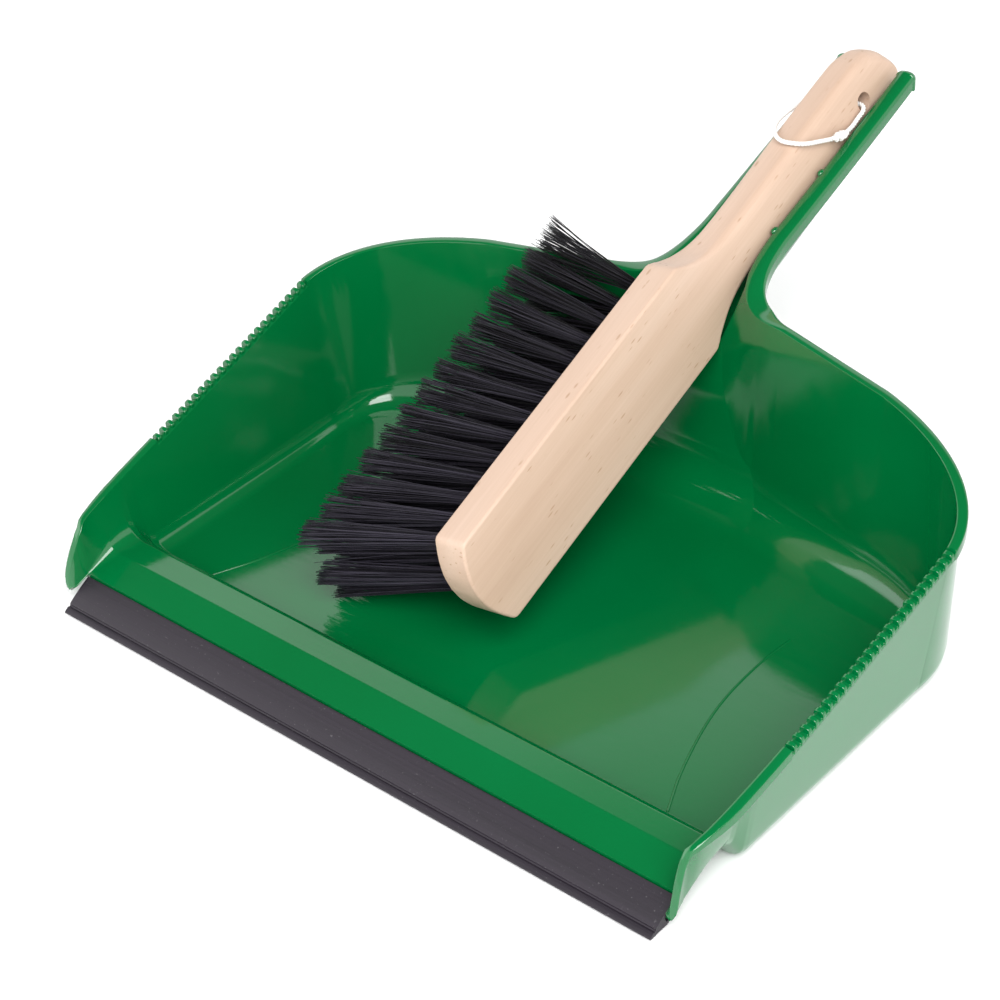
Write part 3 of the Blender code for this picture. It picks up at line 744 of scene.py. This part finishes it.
def neck_rings():
    """The back wall opens into the channel of the handle."""
    rims = [bezier(NECK_RIM, i / NECK_SECTIONS) for i in range(NECK_SECTIONS)]
    handle = [line_at(HANDLE_RIM, i / HANDLE_SECTIONS) for i in range(HANDLE_SECTIONS + 1)]
    outline = rims + handle
    back_out = Vector((0.185, 0.983, 0.0)).normalized()
    neck_x, neck_y = (value * MM for value in BASE_BACK[1])
    mouth_z = channel_height(CHANNEL_MOUTH_Y)
    mouth_y = CHANNEL_MOUTH_Y + 1.5 * MM
    rings = []
    for i, rim in enumerate(outline):
        u = i / NECK_SECTIONS
        rim_out = across(outline, i)
        spread = smoothstep(u / WIDENING_END)
        swelling = span_share(SWELLING, u)
        width = mix(RIM_WIDTH, HANDLE_RIM_WIDTH, spread)
        drop = mix(RIM_DROP, HANDLE_RIM_DROP, spread)
        bulge = mix(RIM_BULGE, HANDLE_RIM_BULGE, swelling)
        flatness = mix(RIM_FLATNESS, HANDLE_RIM_FLATNESS, swelling)
        top = Vector((rim.x, rim.y, rim_height(rim.y) - mix(0.0, HANDLE_RIM_SINK, spread)))
        x = mix(neck_x, CHANNEL_HALF_WIDTH, smoothstep(u / NARROWING_END))
        away = neck_x - x
        wall_y = neck_y + BASE_BACK_SLOPE * (away - away * away / (2 * neck_x))
        if u <= OPENING_START:
            start = u / OPENING_START
            base = Vector((x, wall_y, SHEET))
            inner = opening_bend(base, top, back_out, BACK_FILLET, start)
            foot = base + back_out * SHEET - UP * SHEET
            skin = skin_point(top, rim_out, (top - base).normalized(), drop)
            outer = opening_bend(foot, skin, back_out, OUTER_FILLET, start)
            last_inner_z = inner[2].z
        elif u < OPENING_END:
            rise = span_share((OPENING_START, OPENING_END), u)
            z = mix(last_inner_z, mouth_z, rise)
            turn = span_share(TURNING, u)
            y = mix(wall_y + BACK_WALL_LEAN * (z - SHEET), mouth_y, turn)
            corner = Vector((x, y, z))
            inner = channel_bend(corner, top, mix(0.2 * MM, CHANNEL_FILLET, rise))
            out = (Vector((0.0, 1.0, 0.0)) * (1 - turn) - UP * turn).normalized()
            low = corner + out * SHEET + Vector((SHEET * turn, 0.0, 0.0))
            skin = skin_point(top, rim_out, (top - corner).normalized(), drop)
            outer = channel_bend(low, skin, mix(0.5 * MM, CHANNEL_OUTER_FILLET, rise))
        else:
            y = rim.y
            if i < NECK_SECTIONS:
                share = (u - OPENING_END) / (1 - OPENING_END)
                y = mix(mouth_y, HANDLE_RIM[0][1] * MM, share)
            corner = Vector((min(x, rim.x - 0.3 * MM), y, channel_height(y)))
            inner = channel_bend(corner, top, CHANNEL_FILLET)
            low = corner + Vector((SHEET, 0.0, -SHEET))
            skin = skin_point(top, rim_out, (top - corner).normalized(), drop)
            outer = channel_bend(low, skin, CHANNEL_OUTER_FILLET)
        rings.append(wall_ring(inner, outer, top, rim_out, width, bulge, drop, flatness))
    rings += handle_end(rings[-1])
    return rings


def opening_bend(corner, top, back_out, fillet, start):
    """The bend at the foot of the back wall, of which the share start has opened already."""
    heel = corner - back_out * fillet
    end = corner + (top - corner).normalized() * fillet
    first = heel.lerp(corner, start).lerp(corner.lerp(end, start), start)
    return first, corner.lerp(end, start), end


def channel_bend(corner, top, fillet):
    """The bend from the floor of the channel up its wall."""
    climb = (top - corner).normalized()
    return corner - Vector((fillet, 0.0, 0.0)), corner, corner + climb * fillet


def handle_end(ring):
    """Sections that round off the end of the handle, each smaller and a little further out."""
    first = INNER_STEPS + len(BETWEEN_SHARES)
    rim_part = range(first, first + RIM_STEPS + 1 + UNDER_RIM_POINTS)
    middle = Vector((0.0, 0.0, 0.0))
    for j in rim_part:
        middle += ring[j]
    middle /= len(rim_part)
    rings = []
    for size, further in HANDLE_END:
        made = []
        for j, point in enumerate(ring):
            moved = point.copy()
            if j in rim_part:
                moved = middle + (point - middle) * size
                moved.y = point.y + further * MM
            else:
                moved.y = point.y + 0.25 * further * MM
            made.append(moved)
        rings.append(made)
    return rings


def pan_rings():
    """(cheek rings, body rings) of the right half, front to back and out along the handle."""
    cheeks = cheek_stations()
    tray = side_stations() + corner_and_back_stations()
    stations = cheeks + tray
    bases = [station[0] for station in stations]
    rims = [station[1] for station in stations]
    rings = []
    for i, (base, rim, fillet, notch, high, low) in enumerate(stations):
        outward = Vector((1.0, 0.0, 0.0))
        base_out = outward if base.y < STRAIGHT_BASE_Y else across(bases, i)
        rim_out = outward if rim.y < STRAIGHT_RIM_Y else across(rims, i)
        ring = tray_ring(base, rim, fillet, notch, high, low, base_out, rim_out)
        if i < len(CHEEK_TIP_SIZES):
            middle = sum(ring, Vector((0.0, 0.0, 0.0))) / len(ring)
            ring = [middle + (point - middle) * CHEEK_TIP_SIZES[i] for point in ring]
        rings.append(ring)
    rings += neck_rings()
    moved = [[point + Vector((0.0, FRONT_Y, 0.0)) for point in ring] for ring in rings]
    return moved[: len(cheeks)], moved[len(cheeks) :]


def pan_mesh():
    cheeks, body = pan_rings()
    rings = cheeks + body
    size = len(rings[0])
    count = len(rings)
    first_body = len(cheeks)
    points = []
    for sign in (1, -1):
        for ring in rings:
            points += [(sign * point.x, point.y, point.z) for point in ring]
    faces = []
    left = count * size
    for side in (0, left):
        for i in range(count - 1):
            for j in range(size - 1):
                a = side + i * size + j
                faces.append((a, a + size, a + size + 1, a + 1))
        for i in range(first_body):
            a = side + i * size
            faces.append((a, a + size - 1, a + 2 * size - 1, a + size))
        faces.append(tuple(side + j for j in range(size)))
        last = side + (count - 1) * size
        faces.append(tuple(last + j for j in range(size)))
    flat = [i for i in range(first_body, count) if rings[i][0].z < SHEET + 0.01 * MM]
    for j in (0, size - 1):
        for i in range(first_body, count - 1):
            a = i * size + j
            if not flat[0] <= i < flat[-1]:
                faces.append((a, left + a, left + a + size, a + size))
        right_edge = [i * size + j for i in flat]
        faces.append(tuple(right_edge + [left + a for a in reversed(right_edge)]))
    for i in (first_body, count - 1):
        a = i * size
        faces.append((a, a + size - 1, left + a + size - 1, left + a))
    return points, faces


def comb_mesh():
    """The ribs of the combs that stand across the side rims."""
    points, faces = [], []
    pitch = (COMB_END_Y - COMB_START_Y) / COMB_RIBS
    for sign in (1, -1):
        for i in range(COMB_RIBS):
            y = COMB_START_Y + pitch * (i + 0.5)
            x = side_rim_point(y).x
            z = rim_height(y)
            slope = RIM_Z[1] + 2 * RIM_Z[2] * y
            rib_start = len(points)
            for along, inset in COMB_RIB_ROWS:
                for px, pz in drawn_in(COMB_RIB, inset):
                    height = z + pz * MM + slope * along * MM
                    points.append((sign * (x + px * MM), FRONT_Y + y + along * MM, height))
            ring = len(COMB_RIB)
            add_walls(faces, rib_start, ring, len(COMB_RIB_ROWS))
            faces.append(tuple(rib_start + k for k in range(ring)))
            last = rib_start + (len(COMB_RIB_ROWS) - 1) * ring
            faces.append(tuple(last + k for k in range(ring)))
    return points, faces


def drawn_in(outline, amount):
    """The outline with every point moved towards its middle by this much."""
    cx = sum(point[0] for point in outline) / len(outline)
    cy = sum(point[1] for point in outline) / len(outline)
    moved = []
    for px, py in outline:
        d = math.hypot(px - cx, py - cy)
        k = (d - amount) / d
        moved.append((cx + (px - cx) * k, cy + (py - cy) * k))
    return moved


def lip_place(along, below):
    """(y, z) of a point of the lip: so many mm down its sloping top, and so many below it."""
    down = Vector((-math.cos(LIP_SLOPE), -math.sin(LIP_SLOPE)))
    under = Vector((math.sin(LIP_SLOPE), -math.cos(LIP_SLOPE)))
    place = LIP_TOP + down * (along * MM) + under * (below * MM)
    return FRONT_Y + place[0], place[1]


def tongue_mesh():
    """The thin front edge that the rubber lip is pushed on to."""
    section = [lip_place(along, below) for along, below in TONGUE_SECTION]
    points = [(x, y, z) for x in (-TONGUE_HALF, TONGUE_HALF) for y, z in section]
    faces = [(0, 1, 2, 3), (7, 6, 5, 4)]
    faces += [(k, (k + 1) % 4, 4 + (k + 1) % 4, 4 + k) for k in range(4)]
    return points, faces


def nub_mesh():
    """Small bumps in the channel that steady the brush handle: flattened spheres, half sunk in."""
    points, faces = [], []
    radius_x, radius_y, radius_z = NUB_RADII
    for sign in (1, -1):
        for y in NUB_YS:
            centre = Vector((sign * NUB_X, FRONT_Y + y, rim_height(y) - NUB_DEPTH))
            start = len(points)
            for i in range(NUB_ROWS):
                lat = math.pi * i / (NUB_ROWS - 1)
                for k in range(NUB_SIDES):
                    lon = math.tau * k / NUB_SIDES
                    x = radius_x * math.sin(lat) * math.cos(lon)
                    y_step = radius_y * math.sin(lat) * math.sin(lon)
                    points.append(centre + Vector((x, y_step, radius_z * math.cos(lat))))
            add_walls(faces, start, NUB_SIDES, NUB_ROWS)
    return points, faces


MOULD_LINE = ((116.5, 36.8), (108, 56), (100, 81), (96.2, 101.5), (95.2, 124.5), (96.5, 141.0))
MOULD_LINE_RADIUS = 0.6 * MM
MOULD_LINE_DEPTH = 0.2


def floor_lines_mesh():
    """Fine raised mould lines on the floor, curved in from the front corners."""
    points, faces = [], []
    for sign in (1, -1):
        ends = [Vector((sign * x, y, SHEET / MM - MOULD_LINE_DEPTH)) * MM for x, y in MOULD_LINE]
        line = [point + Vector((0.0, FRONT_Y, 0.0)) for point in smooth_route(ends, 10)]
        strand_tube(points, faces, line, MOULD_LINE_RADIUS, 12)
    return points, faces


def joined(name, meshes, mat, sharp_angle):
    points, faces = [], []
    for more_points, more_faces in meshes:
        start = len(points)
        points += list(more_points)
        faces += [tuple(start + index for index in face) for face in more_faces]
    return mesh_object(name, points, faces, mat, sharp_angle)


def weigh_normals(target):
    """Large flat faces keep their flatness where a bend begins beside them."""
    modifier = target.modifiers.new("weighted normals", "WEIGHTED_NORMAL")
    modifier.keep_sharp = True
    modifier.weight = 60


def make_pan():
    pan = joined(
        "dustpan_shell",
        [pan_mesh(), comb_mesh(), tongue_mesh(), nub_mesh(), floor_lines_mesh()],
        GREEN,
        38.0,
    )
    weigh_normals(pan)
    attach(pan, "pan")
    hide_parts("dustpan")


make_pan()


def make_lip():
    points, faces = [], []
    ring = len(LIP_SECTION)
    for i in range(LIP_COLUMNS):
        x = mix(-LIP_HALF_LENGTH, LIP_HALF_LENGTH, i / (LIP_COLUMNS - 1))
        for along, below in LIP_SECTION:
            wave = noise.noise(Vector((x * LIP_WAVE_RATE, along * 0.05, 3.0))) * LIP_WAVE
            share = smoothstep((along - 6.0) / 11.0)
            points.append((x, *lip_place(along, below + wave * share)))
    add_walls(faces, 0, ring, LIP_COLUMNS)
    faces.append(tuple(range(ring)))
    faces.append(tuple((LIP_COLUMNS - 1) * ring + k for k in range(ring)))
    lip = mesh_object("rubber_edge", points, faces, RUBBER, 40.0)
    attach(lip, "pan")
    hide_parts("rubber_lip")


make_lip()


# ---------------- brush


HEAD_HALF_WIDTH = 22.0
HEAD_NOSE = ((-7.0, 0.0), (-6.2, 7.0), (-3.8, 14.0), (-0.7, 20.0))
HEAD_CORNER = ((0.1, 21.1), (1.2, 21.8), (2.6, HEAD_HALF_WIDTH))
HEAD_STEPS = 20
# The shoulder's places lie behind the end of the head; the bend's lie behind CAD_HEAD_END.
SHOULDER = ((-1.0, HEAD_HALF_WIDTH), (0.6, 21.7), (1.8, 20.9))
BEND = ((146.0, 20.2), (149.5, 18.0), (157.0, 14.7), (166.0, 12.5), (178.0, 11.5))
GRIP = ((200.0, 11.3), (230.0, 11.9), (258.0, 12.0), (276.0, 11.8))
CAD_HEAD_END = 143.0
UPPER_HEAD_END = 145.8
LOWER_HEAD_END = 143.6
UPPER_TIP = ((279.0, 11.5), (285.0, 10.3), (289.4, 7.4), (292.4, 3.8), (294.0, 0.0))
LOWER_TIP = ((287.5, 11.7), (292.6, 11.4), (295.0, 9.6), (295.2, 5.0), (294.0, 0.0))


def block_side(head_end, tip):
    """One side of the block's plan, nose to tip, as (x, distance from the middle), in mm."""
    nose = smooth_route([Vector(p) for p in HEAD_NOSE], 4)
    corner = [Vector(p) for p in HEAD_CORNER]
    head_start = HEAD_CORNER[-1][0]
    head = []
    for i in range(1, HEAD_STEPS + 1):
        head.append(Vector((mix(head_start, head_end - 2.2, i / HEAD_STEPS), HEAD_HALF_WIDTH)))
    shoulder = [Vector((head_end + x, y)) for x, y in SHOULDER]
    bend_end = BEND[-1][0]
    shift = (head_end - CAD_HEAD_END) / (bend_end - BEND[0][0])
    bend = [Vector((x + shift * (bend_end - x), y)) for x, y in BEND]
    neck = smooth_route(bend + [Vector(p) for p in GRIP], 6)
    end = smooth_route([Vector(p) for p in tip], 5)
    return nose + corner + head + shoulder + neck + end


def block_outline():
    """The block's plan all round, anticlockwise, in mm: its lower tip corner is the squarer one."""
    upper = block_side(UPPER_HEAD_END, UPPER_TIP)
    lower = block_side(LOWER_HEAD_END, LOWER_TIP)
    return [Vector((point.x, -point.y)) for point in lower[1:-1]] + upper[::-1]


def edge_round(x, y):
    """Radius of the block's edge: crisp on the head, round on the grip and the upper tip corner."""
    at_tip = mix(LOW_TIP_ROUND, TIP_ROUND, span_share(TIP_ROUND_YS, y))
    along_grip = mix(EDGE_ROUND, GRIP_ROUND, span_share(GRIP_ROUND_XS, x))
    return mix(along_grip, at_tip, span_share(TIP_ROUND_XS, x))


def slab_mesh():
    outline = [point * MM for point in block_outline()]
    count = len(outline)
    insets = []
    for i, point in enumerate(outline):
        before = (point - outline[i - 1]).normalized()
        after = (outline[(i + 1) % count] - point).normalized()
        inward = Vector((-before.y - after.y, before.x + after.x)).normalized()
        cosine = max(0.6, inward.dot(Vector((-after.y, after.x))))
        to_centre = (TIP_CENTRE - point).normalized()
        insets.append((inward / cosine).lerp(to_centre, span_share(TIP_INSET_XS, point.x)))
    points, faces = [], []
    turns = [math.radians(90.0 * k / EDGE_STEPS) for k in range(EDGE_STEPS + 1)]
    rows = 2 * len(turns)
    for upper_side in (False, True):
        for turn in reversed(turns) if upper_side else turns:
            for point, inset in zip(outline, insets):
                radius = edge_round(point.x, point.y)
                moved = point + inset * (radius * (1 - math.sin(turn)))
                height = radius * (1 - math.cos(turn))
                z = BLOCK_THICKNESS - height if upper_side else height
                points.append((moved.x, moved.y, z))
    add_walls(faces, 0, count, rows)
    faces.append(tuple(range(count)))
    faces.append(tuple((rows - 1) * count + i for i in range(count)))
    return points, faces


def drill_mesh(centres, low, high, diameter, sides):
    """Round cutters at these (x, y) places of the block, from height low to high."""
    points, faces = [], []
    for centre in centres:
        start = len(points)
        for z in (low, high):
            for i in range(sides):
                turn = math.tau * i / sides
                x = centre[0] + diameter / 2 * math.cos(turn)
                points.append((x, centre[1] + diameter / 2 * math.sin(turn), z))
        faces.append(tuple(start + i for i in reversed(range(sides))))
        faces.append(tuple(start + sides + i for i in range(sides)))
        add_walls(faces, start, sides, 2)
    return points, faces


def tuft_places():
    """(row, number, x, y, share along the row) of every tuft, with the short rows set between."""
    places = []
    pitch = (TUFT_LAST_X - TUFT_FIRST_X) / (TUFTS_IN_LONG_ROW - 1)
    for row, y in enumerate(TUFT_ROWS_Y):
        short = row % 2
        for i in range(TUFTS_IN_LONG_ROW - short):
            x = TUFT_FIRST_X + pitch * (i + 0.5 * short)
            places.append((row, i + 1, x, y, (i + 0.5 * short) / (TUFTS_IN_LONG_ROW - 1)))
    return places


def cut(target, points, faces):
    """Boolean difference, applied at once, with the cutter removed again."""
    cutter = mesh_object("cutter", points, faces)
    modifier = target.modifiers.new("cut", "BOOLEAN")
    modifier.operation = "DIFFERENCE"
    modifier.solver = "EXACT"
    modifier.object = cutter
    bpy.context.view_layer.update()
    graph = bpy.context.evaluated_depsgraph_get()
    mesh = bpy.data.meshes.new_from_object(target.evaluated_get(graph))
    target.modifiers.remove(modifier)
    old = target.data
    target.data = mesh
    bpy.data.meshes.remove(old)
    bpy.data.objects.remove(cutter, do_unlink=True)


def make_block():
    points, faces = slab_mesh()
    block = mesh_object("beech_block", points, faces, BEECH)
    holes = [(x, y) for _, _, x, y, _ in tuft_places()]
    cut(block, *drill_mesh(holes, -CUT_OVER, TUFT_HOLE_DEPTH, TUFT_HOLE_DIAMETER, 16))
    through = BLOCK_THICKNESS + CUT_OVER
    cut(block, *drill_mesh([HANG_HOLE_PLACE], -CUT_OVER, through, HANG_HOLE_DIAMETER, 40))
    block.data.shade_smooth()
    block.data.set_sharp_from_angle(angle=math.radians(30.0))
    block.matrix_world = BRUSH
    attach(block, "brush")
    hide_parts("brush_block")


make_block()


def tip_band(x):
    """Width of each row's tips at x, so that the lowest row stays above the floor of the pan."""
    floor = SHEET + BRISTLE_FLOOR_GAP - BRUSH[2][3]
    lowest = (floor - BRUSH[2][0] * x + BRUSH[2][2] * BRISTLE_LENGTH) / BRUSH[2][1]
    return (TIP_EDGE_Y - max(-TIP_EDGE_Y, lowest)) / len(TUFT_ROWS_Y)


def clear_back_wall(tip):
    """A filament that reaches the back wall lies over its rim, or stops short if it is low."""
    spot = BRUSH @ tip
    (out_x, out_y), (in_x, in_y) = BACK_RIM
    slope = (in_y - out_y) / (out_x - in_x)
    wall = FRONT_Y + in_y * MM + slope * (in_x * MM - abs(spot.x)) - WALL_CLEARANCE
    rim_top = rim_height(wall - FRONT_Y) + RIM_BULGE
    if spot.y < wall or spot.z > rim_top + WALL_CLEARANCE:
        return
    if spot.z > rim_top - 2.5 * MM:
        tip.y += (rim_top + WALL_CLEARANCE - spot.z) / BRUSH[2][1]
    else:
        tip.x -= (spot.y - wall) / BRUSH[1][0]


def level_scatter(draw, reach):
    return Vector((draw.gauss(0.0, reach), draw.gauss(0.0, reach), 0.0)) * MM


def make_tuft(row, number, root_x, root_y, share, draw):
    """One bundle: round in its hole, fanned out and frayed at the tips."""
    first, last = TIP_FIRST_X[row], TIP_LAST_X[row]
    tip_x = first + (last - first) * share
    band = tip_band(tip_x)
    tip_y = TIP_EDGE_Y - band * (row + 0.5)
    frayed = row == 0 and number == TUFTS_IN_LONG_ROW
    place_width = (last - first) / (TUFTS_IN_LONG_ROW - 1)
    half_x = (FRAYED_SPREAD if frayed else TUFT_SPREAD) * place_width
    half_y = TUFT_SPREAD_ACROSS * band
    sway = Vector((draw.uniform(-0.8, 0.8), draw.uniform(-0.8, 0.8), 0.0)) * MM
    points, faces, tones_and_painted_light = [], [], []
    sides = FILAMENT_SIDES
    floor = SHEET + 0.5 * MM - BRUSH[2][3]
    for _ in range(FILAMENTS_IN_TUFT):
        turn = draw.uniform(0.0, math.tau)
        outward = Vector((math.cos(turn), math.sin(turn), 0.0))
        reach = math.sqrt(draw.random())
        root = Vector((root_x, root_y, ROOT_HEIGHT)) + outward * (ROOT_RADIUS * reach)
        fan = reach * draw.uniform(0.75, 1.1)
        tip = Vector((tip_x, tip_y, -BRISTLE_LENGTH)) + sway
        spread = Vector((outward.x * half_x, outward.y * half_y, 0.0)) * fan
        tip += spread
        tip.z += 0.55 * spread.y - 0.3 * spread.x
        tip += Vector((draw.gauss(0.0, 0.3), draw.gauss(0.0, 0.3), draw.gauss(0.0, 0.55))) * MM
        if draw.random() < STRAY_SHARE:
            tip += level_scatter(draw, STRAY_REACH)
        height = BRUSH[2][0] * tip.x + BRUSH[2][1] * tip.y + BRUSH[2][2] * tip.z
        if height < floor:
            tip.y += (floor - height) / BRUSH[2][1]
        clear_back_wall(tip)
        bow = level_scatter(draw, 0.5)
        hook = level_scatter(draw, 0.2)
        # Painted light sets the mean tone along the row, light at the nose end and dark towards the
        # handle; the random spread round it is each filament's own tone.
        shade = min(1.0, max(0.0, draw.gauss(mix(*PAINTED_LIGHT_ENDS, share), SHADE_SPREAD)))
        fanned = (tip - root) - Vector((tip_x - root_x, tip_y - root_y, tip.z - root.z))
        start = len(points)
        for level in FILAMENT_LEVELS:
            opening = level * level * (1.5 - 0.5 * level)
            centre = root.lerp(tip, level) + fanned * (opening - level) * 0.6
            centre += bow * (4 * level * (1 - level)) + hook * (level**4)
            radius = FILAMENT_END_RADIUS if level == 1.0 else FILAMENT_RADIUS
            for k in range(sides):
                corner = math.tau * k / sides + turn
                points.append(centre + Vector((math.cos(corner), math.sin(corner), 0.0)) * radius)
                tones_and_painted_light.append(shade)
        add_walls(faces, start, sides, len(FILAMENT_LEVELS))
        end = start + (len(FILAMENT_LEVELS) - 1) * sides
        faces.append(tuple(end + k for k in range(sides)))
        faces.append(tuple(start + k for k in reversed(range(sides))))
    mesh = bpy.data.meshes.new("filaments")
    mesh.from_pydata([tuple(point) for point in points], [], faces)
    mesh.shade_smooth()
    mesh.materials.append(FILAMENT)
    attribute = mesh.attributes.new("shade", "FLOAT", "POINT")
    attribute.data.foreach_set("value", tones_and_painted_light)
    tuft = new_object(f"filaments_{row + 1}_{number:02d}", mesh)
    tuft.matrix_world = BRUSH
    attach(tuft, "brush")
    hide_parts(f"bristle_tuft_{row + 1}_{number:02d}")


def make_tufts():
    draw = random.Random(TUFT_SEED)
    for row, number, x, y, share in tuft_places():
        make_tuft(row, number, x, y, share, draw)


make_tufts()


# ---------------- studio

FLOOR_HALF_SIZE = 8.0
FLOOR_GAP = 0.3 * MM
# Each light: its name, place, target, side in metres and watts.
LIGHTS = (
    ("key", (1.1, -0.95, 1.75), (0.0, 0.0, 0.05), 1.5, 66.0),
    ("left", (-1.3, -1.0, 0.9), (0.0, -0.05, 0.05), 1.3, 8.0),
)
# Brightness of the sky against the upward share of the direction: bright round the horizon.
SKY = ((0.0, 1.0), (0.64, 1.0), (0.72, 0.07), (1.0, 0.05))
SKY_STRENGTH = 1.3


def make_floor():
    made, _, shader = new_material("studio_floor")
    shader.inputs["Base Color"].default_value = (0.93, 0.93, 0.93, 1.0)
    shader.inputs["Roughness"].default_value = 0.9
    shader.inputs["Specular IOR Level"].default_value = 0.1
    size = FLOOR_HALF_SIZE
    floor = mesh_object(
        "studio_floor",
        [(-size, -size, 0.0), (size, -size, 0.0), (size, size, 0.0), (-size, size, 0.0)],
        [(0, 1, 2, 3)],
        made,
    )
    floor.location.z = -FLOOR_GAP


def area_light(name, place, target, size, watts):
    data = bpy.data.lights.new(name, "AREA")
    data.shape = "RECTANGLE"
    data.size = size
    data.size_y = size
    data.energy = watts
    light = new_object(name, data)
    light.location = place
    direction = Vector(target) - Vector(place)
    light.rotation_mode = "QUATERNION"
    light.rotation_quaternion = direction.to_track_quat("-Z", "Y")


def make_world():
    world = bpy.data.worlds.new("studio")
    world.use_nodes = True
    tree = world.node_tree
    background = tree.nodes["Background"]
    coords = node(tree, "ShaderNodeTexCoord")
    split = node(tree, "ShaderNodeSeparateXYZ")
    tree.links.new(coords.outputs["Generated"], split.inputs["Vector"])
    sky = ramp(tree, split.outputs["Z"], [(height, grey(value)) for height, value in SKY])
    tree.links.new(sky, background.inputs["Color"])
    background.inputs["Strength"].default_value = SKY_STRENGTH
    bpy.context.scene.world = world


def make_lights():
    for light in LIGHTS:
        area_light(*light)


make_floor()
make_world()
make_lights()
bpy.context.scene.view_settings.view_transform = "Standard"
